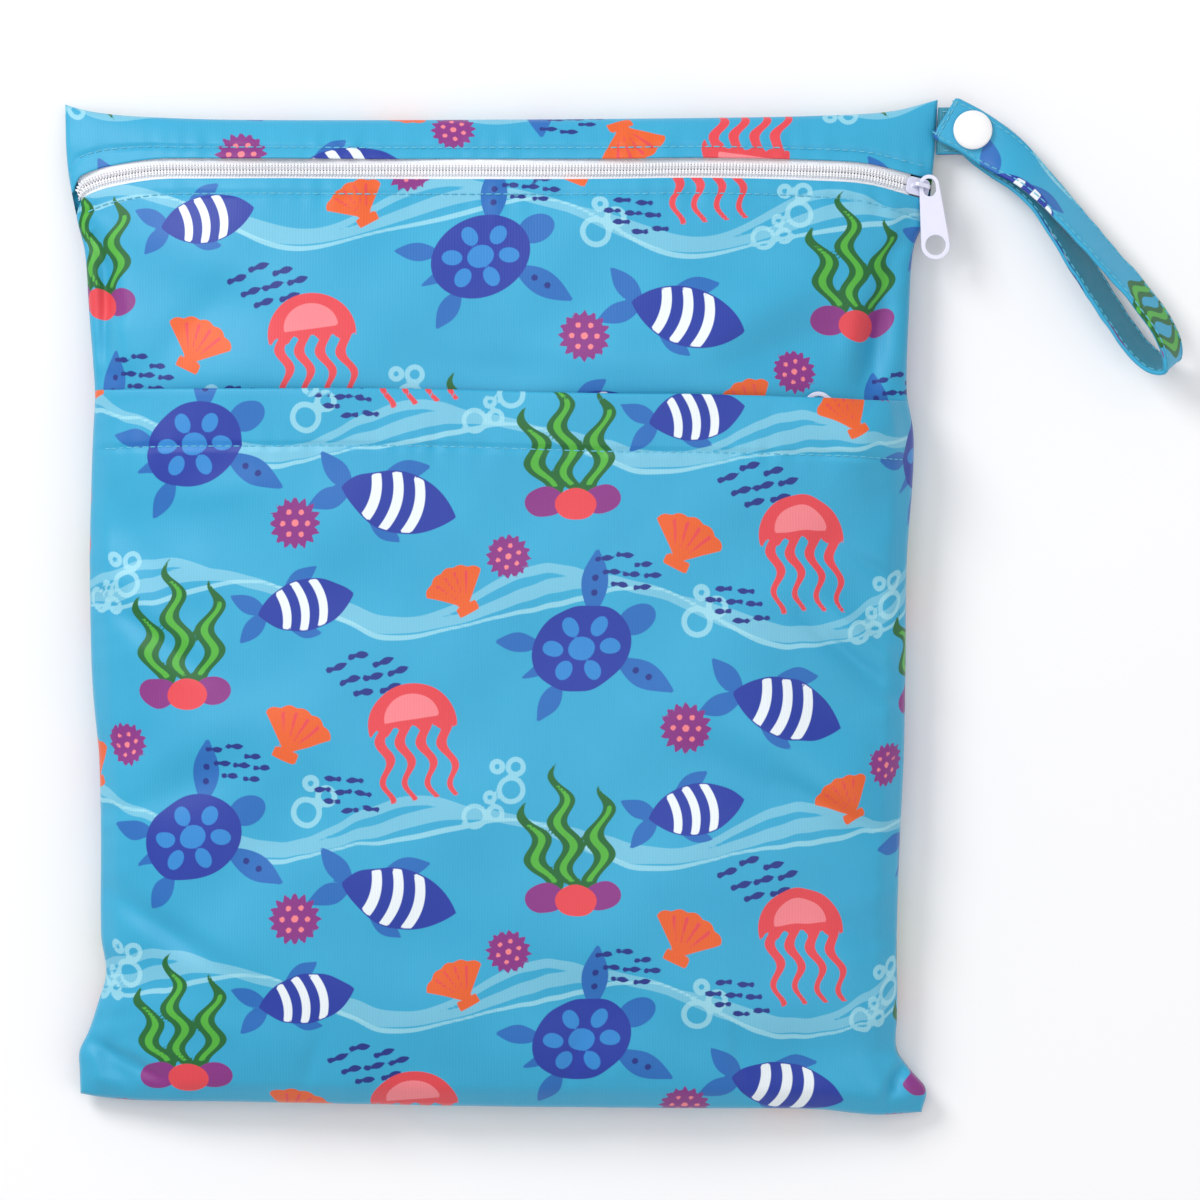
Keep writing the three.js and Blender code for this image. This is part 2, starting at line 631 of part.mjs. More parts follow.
function zipPull() {
  const topRadius = pullTopWidth / 2;
  const endRadius = pullEndWidth / 2;
  const eyeStraight = (pullEyeLength - pullEyeWidth) / 2;
  const topY = eyeStraight - eyeDrop;
  const endY = topY + topRadius - pullLength + endRadius;
  const shape = new THREE.Shape();
  shape.absarc(pullMiddle, topY, topRadius, Math.PI, 0, true);
  shape.absarc(pullMiddle, endY, endRadius, 0, -Math.PI, true);
  shape.closePath();
  const eye = new THREE.Path();
  eye.absarc(pullMiddle, eyeStraight - eyeDrop, pullEyeWidth / 2, 0, Math.PI, false);
  eye.absarc(pullMiddle, -eyeStraight - eyeDrop, pullEyeWidth / 2, Math.PI, 2 * Math.PI, false);
  eye.closePath();
  const hole = new THREE.Path();
  hole.absarc(pullMiddle, endY, pullHole / 2, 0, 2 * Math.PI, false);
  shape.holes.push(eye, hole);
  const options = { depth: pullThickness, bevelEnabled: false, curveSegments: 10 };
  return new THREE.ExtrudeGeometry(shape, options).translate(0, 0, -pullThickness / 2);
}

function place(mesh, origin, xAxis, zAxis) {
  const x = xAxis.clone().normalize();
  const z = zAxis.clone().addScaledVector(x, -zAxis.dot(x)).normalize();
  const y = new THREE.Vector3().crossVectors(z, x);
  const matrix = new THREE.Matrix4().makeBasis(x, y, z).setPosition(origin);
  mesh.applyMatrix4(matrix);
  return matrix;
}

function mainSliderAndPull() {
  const slider = named('zip_slider', zipSlider(), pullLacquer);
  const mouth = offFront(zipMouth, zipUp(zipMouth), tapeOffset);
  const back = zipMouth - coilBack / bagWidth;
  const before = offFront(back, zipUp(back), tapeOffset);
  const direction = mouth.point.clone().sub(before.point);
  const matrix = place(slider, mouth.point, direction, mouth.normal);
  const pull = named('zip_pull', zipPull(), pullLacquer);
  const hinge = new THREE.Vector3(bridgeMiddle, 0, hingeHeight).applyMatrix4(matrix);
  const heading = THREE.MathUtils.degToRad(pullHeading + 90);
  const pullAcross = new THREE.Vector3(Math.cos(heading), Math.sin(heading), 0);
  place(pull, hinge, pullAcross, new THREE.Vector3(0, 0, 1));
  return [slider, pull];
}

// Pocket slider: a plain body with a post through the pull's eye. The pull's round end rests on the front
function pocketSliderAndPull() {
  const half = pocketSliderLength / 2 / bagWidth;
  const across = pocketSliderAcross;
  const onZip = (at, offset) => offFront(at, pocketZipUp(at), offset, sunkFront);
  const middle = onZip(across, pocketStripTop + clearance * 2);
  const along = onZip(across + half, 0).point.sub(onZip(across - half, 0).point);
  const body = extruded(roundedPlate(pocketSliderLength, sliderWidth, sliderCorner), pocketSliderHeight, 0);
  body.translate(-pocketSliderLength / 2, 0, 0);
  const postHeight = pocketPullLift + pullThickness;
  const post = new THREE.CylinderGeometry(postDiameter / 2, postDiameter / 2, postHeight + sliderPlate, 12);
  post.rotateX(Math.PI / 2);
  post.translate(0, 0, pocketSliderHeight + (postHeight - sliderPlate) / 2);
  const slider = named('pocket_zip_slider', geometryOf(solidOf(body).add(solidOf(post))), pullLacquer);
  const matrix = place(slider, middle.point, along, middle.normal);
  const eyeHeight = pocketSliderHeight + pocketPullLift + pullThickness / 2;
  const eye = new THREE.Vector3(0, 0, eyeHeight).applyMatrix4(matrix);
  const reach = pullLength - pullEndWidth;
  const endAcross = across + (pocketPullWay.x * reach) / bagWidth;
  const endUp = pocketZipUp(across) + (pocketPullWay.y * reach) / bagHeight;
  const rest = offFront(endAcross, endUp, pocketStripTop + clearance + pullThickness / 2, sunkFront);
  const downPull = rest.point.clone().sub(eye).normalize();
  const pullAcross = new THREE.Vector3().crossVectors(rest.normal, downPull).normalize();
  const pull = named('pocket_zip_pull', zipPull().translate(-pullMiddle, eyeDrop, 0), pullLacquer);
  place(pull, eye, pullAcross, new THREE.Vector3().crossVectors(downPull, pullAcross));
  return [slider, pull];
}

// The wrist strap: one band from the tab round the loop to its root at the side seam
const strapRoot = (() => {
  const [x, y] = outline(1, strapUp);
  return new THREE.Vector3(x + clearance, y, seamLevel(1, strapUp));
})();
const snapCentre = new THREE.Vector3(strapRoot.x + snapReach, strapRoot.y, 0);
const rootHeight = strapRoot.z;
const tabHeight = rootHeight + strapThickness + snapGap;

function wristStrap() {
  const heading = THREE.MathUtils.degToRad(strapHeading);
  const along = new THREE.Vector3(Math.cos(heading), Math.sin(heading), 0);
  const aside = new THREE.Vector3(-Math.sin(heading), Math.cos(heading), 0);
  const points = strapRows.map((row) => {
    const point = snapCentre.clone().addScaledVector(along, row.along * strapReach);
    point.addScaledVector(aside, row.side * strapReach);
    point.z = THREE.MathUtils.lerp(rootHeight, tabHeight, row.upper) + row.lift * strapWidth;
    return point;
  });
  points.push(strapRoot);
  const rows = [...strapRows, { tilt: 0, width: 1 }].map((row, index) => ({ ...row, index }));
  const curve = new THREE.CatmullRomCurve3(points, false, 'centripetal');
  const thin = 0.4;
  const broad = 1 - strapThickness / 2 / strapWidth;
  const section = [
    [1, thin], [broad, 1], [-broad, 1], [-1, thin],
    [-1, -thin], [-broad, -1], [broad, -1], [1, -thin],
  ];
  const positions = [];
  for (let step = 0; step <= strapSteps; step += 1) {
    const t = step / strapSteps;
    const centre = curve.getPoint(t);
    const tangent = curve.getTangent(t);
    const at = t * (points.length - 1);
    const tilt = THREE.MathUtils.degToRad(readColumn(rows, 'index', 'tilt', at));
    const width = readColumn(rows, 'index', 'width', at);
    const lean = aside.clone().multiplyScalar(Math.cos(tilt));
    lean.z -= Math.sin(tilt);
    lean.addScaledVector(tangent, -lean.dot(tangent)).normalize();
    const face = new THREE.Vector3().crossVectors(tangent, lean);
    section.forEach(([across, through]) => {
      const point = centre.clone().addScaledVector(lean, (across * width * strapWidth) / 2);
      point.addScaledVector(face, (through * strapThickness) / 2);
      positions.push(point.x, point.y, point.z);
    });
  }
  const size = section.length;
  const faces = [];
  for (let step = 0; step < strapSteps; step += 1) {
    for (let index = 0; index < size; index += 1) {
      const next = (index + 1) % size;
      const [a, b] = [step * size + index, step * size + next];
      faces.push(a, b, b + size, a, b + size, a + size);
    }
  }
  const end = strapSteps * size;
  for (let index = 1; index < size - 1; index += 1) {
    faces.push(0, index + 1, index, end, end + index, end + index + 1);
  }
  const bore = postDiameter / 2 + clearance;
  const hole = new THREE.CylinderGeometry(bore, bore, bagThickness * 2, 16);
  hole.rotateX(Math.PI / 2);
  hole.translate(snapCentre.x, snapCentre.y, 0);
  return geometryOf(solidOf(outwardGeometry(positions, faces)).subtract(solidOf(hole)));
}

// Round pieces of the snap, as profiles of radius and height
function lathed(profile) {
  const points = profile.map(([radius, height]) => new THREE.Vector2(radius, height));
  return new THREE.LatheGeometry(points, 24).rotateX(Math.PI / 2);
}

// A shallow dome on a post that reaches back through the cloth
function capProfile() {
  const cap = capDiameter / 2;
  const post = postDiameter / 2;
  const reach = clearance + strapThickness + clearance;
  return [
    [0, -reach], [post, -reach], [post, 0], [cap - snapEdge, 0], [cap, snapEdge], [cap, capHeight / 2],
    [cap - snapEdge, capHeight * 0.75], [cap * 0.65, capHeight * 0.95], [0, capHeight],
  ];
}

function snap() {
  const tabTop = tabHeight + strapThickness / 2;
  const tabUnder = tabHeight - strapThickness / 2;
  const rootTop = rootHeight + strapThickness / 2;
  const socket = socketDiameter / 2;
  const knob = knobDiameter / 2;
  const bore = knob + clearance;
  const socketProfile = [
    [bore, 0], [socket - snapEdge, 0], [socket, snapEdge],
    [socket, socketHeight], [bore, socketHeight], [bore, 0],
  ];
  const knobHeight = flangeHeight + clearance + socketHeight * 0.6;
  const studProfile = [
    [0, 0], [socket, 0], [socket, flangeHeight / 2],
    [socket - flangeHeight / 2, flangeHeight], [knob, flangeHeight],
    [knob, knobHeight - flangeHeight / 2], [knob - flangeHeight / 2, knobHeight], [0, knobHeight],
  ];
  const cap = named('snap_cap', lathed(capProfile()), snapResin);
  const ring = named('snap_socket', lathed(socketProfile), snapResin);
  const stud = named('snap_stud', lathed(studProfile), snapResin);
  const back = named('snap_back', lathed(capProfile()).rotateX(Math.PI), snapResin);
  cap.position.set(snapCentre.x, snapCentre.y, tabTop + clearance);
  ring.position.set(snapCentre.x, snapCentre.y, tabUnder - clearance - socketHeight);
  stud.position.set(snapCentre.x, snapCentre.y, rootTop + clearance);
  back.position.set(snapCentre.x, snapCentre.y, rootHeight - strapThickness / 2 - clearance);
  return [cap, ring, stud, back];
}

const wetBag = new THREE.Group();
wetBag.add(named('back_panel', backPanel(), printedCloth));
wetBag.add(named('front_panel', frontPanel(), printedCloth));
wetBag.add(named('pocket_panel', pocketPanel(), pocketCloth));
wetBag.add(named('zip_tape_upper', zipTape(1), zipWhite));
wetBag.add(named('zip_tape_lower', zipTape(-1), zipWhite));
wetBag.add(named('zip_coil', zipCoil(), zipWhite));
wetBag.add(...mainSliderAndPull());
wetBag.add(named('pocket_zip', pocketZip(), zipWhite));
wetBag.add(...pocketSliderAndPull());
wetBag.add(named('wrist_strap', wristStrap(), printedCloth));
wetBag.add(...snap());

export default wetBag;
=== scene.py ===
"""Visual model of a cloth wet bag with a sea print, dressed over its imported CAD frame."""

import math

import bpy
import numpy as np
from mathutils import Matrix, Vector


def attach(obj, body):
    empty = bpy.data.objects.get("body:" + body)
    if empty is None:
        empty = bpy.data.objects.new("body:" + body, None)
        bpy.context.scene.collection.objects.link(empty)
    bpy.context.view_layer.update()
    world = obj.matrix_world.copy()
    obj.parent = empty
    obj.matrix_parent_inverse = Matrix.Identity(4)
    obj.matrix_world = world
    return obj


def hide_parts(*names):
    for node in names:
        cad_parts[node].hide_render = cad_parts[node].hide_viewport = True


bl_info = {
    "name": "Wet bag",
    "version": (1, 0, 0),
    "blender": (4, 5, 0),
    "location": "3D View > Sidebar > Wet Bag",
    "description": "Cloth, print, zips, snap and stitches of a wet bag over its CAD frame",
    "category": "Object",
}

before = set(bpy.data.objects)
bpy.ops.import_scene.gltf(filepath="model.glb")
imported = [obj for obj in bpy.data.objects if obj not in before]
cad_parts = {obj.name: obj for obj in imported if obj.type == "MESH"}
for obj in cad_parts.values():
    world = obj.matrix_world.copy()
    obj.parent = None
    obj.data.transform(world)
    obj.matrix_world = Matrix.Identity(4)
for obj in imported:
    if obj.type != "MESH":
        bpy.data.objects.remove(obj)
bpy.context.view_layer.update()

MM = 0.001

# The bag's sizes in millimetres, as in the part's source
BAG_WIDTH = 292.0
BAG_HEIGHT = 353.0
BAG_THICKNESS = 44.0
SEAM_HEIGHT = 13.0
CORNER_DROOP = 7.5
SEAM_ROUND = 1.5
SIDE_ROUND = 100.0
END_ROUND = 110.0
REST_MARGIN = 38.0
FILL_POWER = 0.7
CLOTH_WALL = 1.2
CLEARANCE = 0.3
HEM_DEPTH = 20.5
POCKET_EASE = 2.4
POCKET_RISE = 8.0
POCKET_DEPTH = 6.0
POCKET_SLOPE = 40.0
FLAP_APPROACH = 12.0
ZIP_SLOT = 7.4
ZIP_START = 2.0
TAPE_DROP = 0.8
TAPE_WIDTH = 10.0
TAPE_GAP = 2.8
SLIDER_FROM_SIDE = 8.6
POCKET_ZIP_BELOW = 13.0
POCKET_SLIDER_FROM_SIDE = 15.0
POCKET_SLIDER_LENGTH = 7.0
POCKET_PULL_HEADING = 144.0
PULL_LENGTH = 30.6
POCKET_BULGE = 8.0
POCKET_BULGE_END = 3.0
POCKET_BULGE_RADIUS = 16.0
STRAP_WIDTH = 17.0
STRAP_THICKNESS = 1.8
STRAP_REACH = 114.0
STRAP_HEADING = -50.0
STRAP_UP = 0.968
SNAP_REACH = 12.6
SNAP_GAP = 3.6
POST_DIAMETER = 3.0
CAP_DIAMETER = 14.0
CAP_HEIGHT = 2.2

NEST = CLOTH_WALL + 2 * CLEARANCE
CROWN = BAG_THICKNESS - SEAM_HEIGHT - SEAM_ROUND - CLEARANCE / 2 - NEST - POCKET_EASE

# Rows of the panels' grids. HIDDEN_TO is a share of the bag's height up to which the front's rows are
# coarse, and the two steps are shares of their stretches. The others are lengths and spacings in mm
HIDDEN_TO = 0.66
HIDDEN_PITCH = 5.0
APPROACH_STEP = 0.1
SHOWN_FRONT = 78.0
POCKET_RUN = 252.0
BACK_PITCH = 1.9
BAND_STEP = 0.045

# Radius of each turned edge, and how far back under the cloth its rows run, in mm
ZIP_TURN, ZIP_TURN_ROWS = 0.5, (1.0, 2.5, 4.0)
HEM_TURN, HEM_TURN_ROWS = 1.1, (1.0, 3.0, 6.0, 10.0)

# Relief in mm, before the Relief setting: its fade at the edges, and how far it may sink over the zip's
# tapes and over what the pocket covers
EDGE_FADE = 18.0
FOLD_FADE_BELOW, FOLD_FADE = 14.0, 26.0
BACK_FADE = 20.0
BAND_FADE = 5.0
PUCKER_HEIGHT = 0.32
CREASE_DEPTH = 1.45
ZIP_REACH = 16.0
SINK_OVER_TAPE = -0.55
SINK_OVER_FRONT = -1.3
SINK_FREE = -9.0

# The zip's tapes and coil in mm: places off the zip's middle, rises off the tape's top and bar sizes
TAPE_UNDER_COIL = 1.2
TAPE_THICKNESS = 0.5
TAPE_COLUMNS = 14
TAPE_PAST_MOUTH = 1.5
TAPE_SINK, TAPE_SINK_FROM, TAPE_SINK_OVER = 0.7, 4.5, 3.0
COIL_SHORT = 1.6
COIL_LINE, COIL_RISE = (1.25, 1.3), 0.5
TURN_LENGTH, TURN_RADIUS = 2.7, 0.46
CHAIN_LINES, CHAIN_RISE = (-1.7, -0.95, 0.95, 1.7), 0.98
CHAIN_LENGTH, CHAIN_RADIUS = 1.3, 0.17
ZIP_POINTS = 420

# The strap's mesh: rings along it, points across one face, rings of its root, stitch rows as a share of
# half its width, and the rings and columns that the stitches keep to
STRAP_RINGS = 340
STRAP_COLUMNS = 23
ROOT_RINGS = 60
STRAP_STITCH = 0.78
STITCHED_RINGS = slice(6, -4)
TAB_ROWS, TAB_COLUMNS = (9, 15), slice(3, 20)
EDGE_WAVE = 0.13

# Rounding of the cast pieces: voxel in mm, passes of smoothing, share of the faces kept
CAST_VOXEL = 0.14
CAST_PASSES = 6
CAST_KEPT = 0.3
CAP_SIDES = 72

# How far threads stand out of the cloth in mm: on the panels, along the strap and across its tab
THREAD_ON_PANEL = 0.2
THREAD_ON_STRAP = 0.12
THREAD_ON_TAB = 0.14
STITCH_POINTS = 600

# The stage: floor in mm, camera's place in metres and its lens and sensor in mm, lights by name, with
# place and target in metres, diameter and watts
FLOOR_REACH = 4000.0
FLOOR_DROP = 0.3
CAMERA_PLACE = (0.036, 0.0043, 3.0)
LENS = 250
SENSOR = 36
LIGHTS = (
    ("key_light", (-1.2, 1.2, 1.5), (0.02, 0.0, 0.0), 1.0, 27.0),
    ("fill_light", (1.3, -0.7, 1.7), (0.0, 0.0, 0.0), 1.6, 6.0),
    ("top_light", (0.0, 0.2, 2.6), (0.0, 0.0, 0.0), 2.2, 15.0),
)
SKY_STRENGTH = 0.55


def table(names, rows):
    """A table of numbers as one array for each named column. The first column is its key."""
    columns = {name: np.array([row[i] for row in rows]) for i, name in enumerate(names)}
    return {"key": names[0], **columns}


# How far the outline stands out past the plain rectangle, as shares of the bag's width
SIDES = table(("up", "left", "right"), [
    (0.0, 0.016, 0.019), (0.024, 0.0165, 0.024), (0.044, 0.0165, 0.004), (0.064, 0.0054, -0.0119),
    (0.095, -0.007, -0.0119), (0.125, -0.0165, -0.0115), (0.166, -0.0106, -0.0125),
    (0.268, -0.0106, -0.009), (0.349, -0.0085, -0.004), (0.431, 0.0, -0.002), (0.553, 0.003, 0.0),
    (0.63, 0.001, 0.007), (0.675, -0.001, 0.008), (0.716, -0.0032, 0.0), (0.797, 0.0042, 0.003),
    (0.853, 0.0095, 0.0085), (0.884, 0.019, 0.0245), (0.94, 0.0315, 0.0338), (1.0, 0.035, 0.039),
])

# How far the top and bottom edges stand out, as shares of the bag's height
ENDS = table(("across", "top", "bottom"), [
    (0.0, 0.0165, -0.01), (0.032, 0.0092, -0.006), (0.081, 0.0041, -0.0035), (0.2, 0.0, -0.0025),
    (0.5, 0.0, 0.002), (0.75, 0.002, 0.004), (0.87, 0.0046, 0.005), (0.944, 0.0092, 0.0112),
    (1.0, 0.0215, 0.009),
])

# Height of the zip's middle line and of the pocket's folded edge, as shares of the bag's height
LINES = table(("across", "zip", "pocket"), [
    (0.0, 0.9, 0.7188), (0.015, 0.92, 0.72), (0.06, 0.938, 0.7231), (0.13, 0.948, 0.7248),
    (0.4, 0.949, 0.7252), (0.63, 0.948, 0.7195), (0.74, 0.948, 0.7184), (0.87, 0.943, 0.7154),
    (0.93, 0.9355, 0.7131), (1.0, 0.909, 0.7068),
])

# Soft folds: from and to as shares of the bag's size, width of its width, depth of its thickness
FOLDS = [
    (0.0, 0.9, 0.03, 0.8, 0.014, -0.05), (0.025, 0.84, 0.02, 0.74, 0.014, -0.05),
    (0.985, 0.86, 0.95, 0.73, 0.02, -0.05), (0.9, 0.56, 0.985, 0.47, 0.03, -0.035),
    (0.86, 0.43, 0.98, 0.36, 0.035, -0.03), (0.02, 0.6, 0.12, 0.5, 0.03, -0.03),
    (0.0, 0.07, 0.06, 0.02, 0.016, -0.06), (0.985, 0.06, 0.96, 0.0, 0.014, -0.05),
    (0.06, 0.14, 0.2, 0.26, 0.04, -0.03),
]

# The strap's middle line: along and side as shares of its reach, upper from the root's level to the
# tab's, lift of the strap's width, tilt in degrees, width as a share
STRAP = table(("at", "along", "side", "upper", "lift", "tilt", "width"), [(i, *row) for i, row in enumerate([
    (-0.09, -0.042, 1, 0, 0, 0.93), (-0.078, -0.038, 1, 0, 0, 1), (0, -0.006, 1, 0, 0, 1),
    (0.07, 0.0145, 1, 0, 0, 1), (0.125, 0.03, 1, 0.03, 14, 1), (0.19, 0.044, 1, 0.09, 33, 1),
    (0.29, 0.055, 1, 0.18, 48, 1), (0.43, 0.06, 1, 0.27, 54, 1), (0.58, 0.063, 1, 0.3, 57, 1),
    (0.73, 0.066, 1, 0.3, 57, 1), (0.86, 0.056, 1, 0.27, 57, 1), (0.935, 0.032, 0.75, 0.25, 57, 1),
    (0.965, 0.003, 0.5, 0.24, 57, 1), (0.94, -0.026, 0.25, 0.22, 57, 1), (0.87, -0.041, 0, 0.22, 57, 1),
    (0.73, -0.032, 0, 0.22, 57, 1), (0.58, -0.013, 0, 0.21, 55, 1), (0.43, 0.014, 0, 0.2, 50, 1),
    (0.31, 0.033, 0, 0.16, 44, 1), (0.21, 0.035, 0, 0.08, 26, 1), (0.135, 0.0225, 0, 0.02, 9, 1),
    (0.07, 0.008, 0, 0, 0, 1), (0, -0.008, 0, 0, 0, 1),
])])

# Slow waves of the cloth: wavelength in mm, heading in degrees, height in mm, phase
WAVES = [
    (83, 62, 0.35, 0.4), (57, 118, 0.28, 1.9), (118, 20, 0.4, 3.1), (41, 75, 0.16, 5.0), (33, 141, 0.12, 2.2),
]

# Puckers square to the seams: seam, strength, reach, wavelength, lean, phase
SEAM_PUCKERS = [
    ("left", 1.0, 9, 11, -0.3, 0.7), ("right", 1.0, 9, 12, 0.25, 2.9),
    ("left", 1.3, 26, 31, 0, 1.3), ("right", 1.3, 24, 27, 0, 4.4),
    ("bottom", 1.0, 9, 13, 0.2, 5.2), ("bottom", 1.4, 24, 34, 0, 2.0),
]

# Puckers along each panel's row of stitches: height and wavelength in mm, phase
ROW_PUCKERS = {"front": (0.28, 9.5, 0.6), "pocket": (0.26, 8.5, 3.3), "band": (0.26, 8.0, 1.4)}

# Creases of the front and of the pocket: from and to in mm, width, depth
FRONT_CREASES = [
    (62, 92, 120, 120, 7, 0.5), (70, 84, 132, 104, 6, -0.4), (-126, 84, -96, 118, 6, -0.35),
    (-150, 141, -141.5, 127, 2.8, -0.7), (-141.5, 127, -141, 82, 2.2, -0.8), (-137, 122, -134, 84, 5.0, 0.5),
    (137, 112, 133, 82, 4.0, -0.9), (129, 118, 124, 90, 5.0, 0.45), (-120, 130, -60, 108, 9, 0.35),
    (60, 128, 118, 118, 8, -0.3), (-30, 96, 60, 90, 7, 0.25),
]
POCKET_CREASES = [
    (72, -30, 132, -66, 9, 0.6), (60, -44, 118, -78, 8, -0.55), (86, 2, 140, 22, 7, 0.45),
    (-140, -60, -84, -36, 9, 0.5), (-138, -72, -90, -54, 7, -0.45), (40, -128, 110, -150, 10, 0.45),
    (-20, -150, 40, -132, 11, -0.35), (-132, -140, -70, -156, 8, 0.5), (118, -110, 146, -126, 5, -0.6),
    (108, -2, 146, -34, 3.4, -0.9), (114, 6, 150, -26, 3.0, 0.5), (100, -60, 144, -84, 4.0, -0.7),
    (-146, 8, -104, -22, 4.2, -0.6), (-142, -98, -96, -128, 4.6, -0.8), (-146, -154, -118, -168, 2.6, -0.9),
    (146, -160, 138, -176, 2.4, -1.0), (126, 20, 148, 8, 2.6, -0.5), (-70, -172, -64, -150, 3.2, -0.35),
    (22, -173, 30, -148, 3.4, -0.35), (88, -172, 84, -146, 3.2, -0.4), (-118, 40, -80, 46, 6, 0.3),
]


def ease(t):
    """Smooth step from 0 to 1."""
    t = np.clip(t, 0, 1)
    return t * t * (3 - 2 * t)


def read(rows, name, at):
    """A smooth curve through one column of a table."""
    keys, values = rows[rows["key"]], rows[name]
    last = len(keys) - 1
    index = np.arange(last + 1)
    low, high = np.maximum(index - 1, 0), np.minimum(index + 1, last)
    slope = (values[high] - values[low]) / (keys[high] - keys[low])
    at = np.asarray(at, dtype=float)
    start = np.clip(np.searchsorted(keys, at, side="right") - 1, 0, last - 1)
    span = keys[start + 1] - keys[start]
    t = np.clip((at - keys[start]) / span, 0, 1)
    weight = 1 - 3 * t**2 + 2 * t**3
    leave = (t - 2 * t**2 + t**3) * span * slope[start]
    arrive = (t**3 - t**2) * span * slope[start + 1]
    return weight * values[start] + (1 - weight) * values[start + 1] + leave + arrive


def side_distance(across):
    """Distance in mm to the nearer side seam."""
    return np.minimum(across, 1 - across) * BAG_WIDTH


def end_distance(up):
    """Distance in mm to the nearer of the bottom seam and the top edge."""
    return np.minimum(up, 1 - up) * BAG_HEIGHT


def outline(across, up):
    """Plan position in mm of a point given as shares of the bag's width and height."""
    to_right = ease(2 * across - 1) * read(SIDES, "right", up)
    to_left = ease(1 - 2 * across) * read(SIDES, "left", up)
    to_top = ease(2 * up - 1) * read(ENDS, "top", across)
    to_bottom = ease(1 - 2 * up) * read(ENDS, "bottom", across)
    return (across - 0.5 + to_right - to_left) * BAG_WIDTH, (up - 0.5 + to_top - to_bottom) * BAG_HEIGHT


def seam_level(across, up):
    """Height of the seams, which droop at the corners."""
    return SEAM_HEIGHT - CORNER_DROOP * np.abs((2 * across - 1) * (2 * up - 1)) ** 4


def roll(distance):
    """Quarter circle from 0 at the seam to 1 where its rolled edge ends."""
    return np.sqrt(1 - (1 - np.clip(distance / SEAM_ROUND, 0, 1)) ** 2)


def swell(distance, reach):
    """How full the bag is, from 0 at the seam to 1 at the reach."""
    return (1 - (1 - np.clip(distance / reach, 0, 1)) ** 2) ** FILL_POWER


def away_from(x, y, start, end):
    """Distance of points from a line between two points."""
    run = np.subtract(end, start).astype(float)
    along = np.clip(((x - start[0]) * run[0] + (y - start[1]) * run[1]) / run.dot(run), 0, 1)
    return np.hypot(x - start[0] - along * run[0], y - start[1] - along * run[1]), along


def front_level(across, up):
    """Height of the front without its rolled edge."""
    side, end = side_distance(across), end_distance(up)
    filled = CROWN * swell(side, SIDE_ROUND) * swell(end, END_ROUND)
    folds = 0
    for from_across, from_up, to_across, to_up, width, depth in FOLDS:
        start = (from_across * BAG_WIDTH, from_up * BAG_HEIGHT)
        stop = (to_across * BAG_WIDTH, to_up * BAG_HEIGHT)
        away, _ = away_from(across * BAG_WIDTH, up * BAG_HEIGHT, start, stop)
        folds = folds + depth * BAG_THICKNESS * np.exp(-((away / (width * BAG_WIDTH)) ** 2))
    fade = ease(np.minimum(side, end) / FLAP_APPROACH)
    return seam_level(across, up) + CLEARANCE / 2 + filled + folds * fade


def front_point(across, up, rim, lift):
    """A point over the front, whose rolled edge is rim mm wide."""
    x, y = outline(across, up)
    z = front_level(across, up) + SEAM_ROUND * roll(rim) + lift
    return np.stack(np.broadcast_arrays(x, y, z), axis=-1)


def zip_up(across):
    return read(LINES, "zip", across)


def pocket_up(across):
    return read(LINES, "pocket", across)


def behind_pocket(across, up):
    """1 where the front lies behind the pocket, easing to 0 above the pocket's fold."""
    return 1 - ease((up - pocket_up(across)) * BAG_HEIGHT / FLAP_APPROACH)


def pocket_sink(across, up):
    """How far the front gives way behind the pocket, in mm."""
    below = ease(((pocket_up(across) - up) * BAG_HEIGHT + FLAP_APPROACH / 2) / POCKET_SLOPE)
    inside = ease(side_distance(across) / POCKET_SLOPE) * ease(up * BAG_HEIGHT / POCKET_SLOPE)
    return POCKET_DEPTH * below * inside


def pocket_bulge(across, up):
    """The bulge over the pocket's slider and pull."""
    at = 1 - (POCKET_SLIDER_FROM_SIDE + POCKET_SLIDER_LENGTH / 2) / BAG_WIDTH
    start = (at * BAG_WIDTH, float(pocket_up(at)) * BAG_HEIGHT - POCKET_ZIP_BELOW)
    turn = math.radians(POCKET_PULL_HEADING)
    end = (start[0] + math.cos(turn) * PULL_LENGTH, start[1] + math.sin(turn) * PULL_LENGTH)
    away, along = away_from(across * BAG_WIDTH, up * BAG_HEIGHT, start, end)
    full = POCKET_BULGE + (POCKET_BULGE_END - POCKET_BULGE) * along
    return full * np.exp(-((away / POCKET_BULGE_RADIUS) ** 2)) * ease(side_distance(across) / POCKET_RISE)


def pocket_lift(across, up):
    """How far the pocket lies above the front's level, in mm."""
    eased = POCKET_EASE * ease(side_distance(across) / POCKET_RISE) * ease(up * BAG_HEIGHT / POCKET_RISE)
    return NEST + eased + pocket_bulge(across, up)


def ripple(along, pitch, phase):
    """An uneven wave along a seam, from -1 to 1."""
    slow = np.sin(along * 2 * math.pi / (pitch * 6.7) + phase)
    quick = np.sin(along * 2 * math.pi / pitch + 1.9 * slow + phase * 2.3)
    other = np.sin(along * 2 * math.pi / (pitch * 1.73) + 1.1 * slow + phase * 4.1)
    return (0.6 * quick + 0.4 * other) * (0.65 + 0.35 * slow)


def slow_waves(x, y):
    """The long soft waves that cross each panel."""
    height = 0
    for length, heading, tall, phase in WAVES:
        turn = math.radians(heading)
        along = x * math.cos(turn) + y * math.sin(turn)
        height = height + tall * np.sin(along * 2 * math.pi / length + phase)
    return height


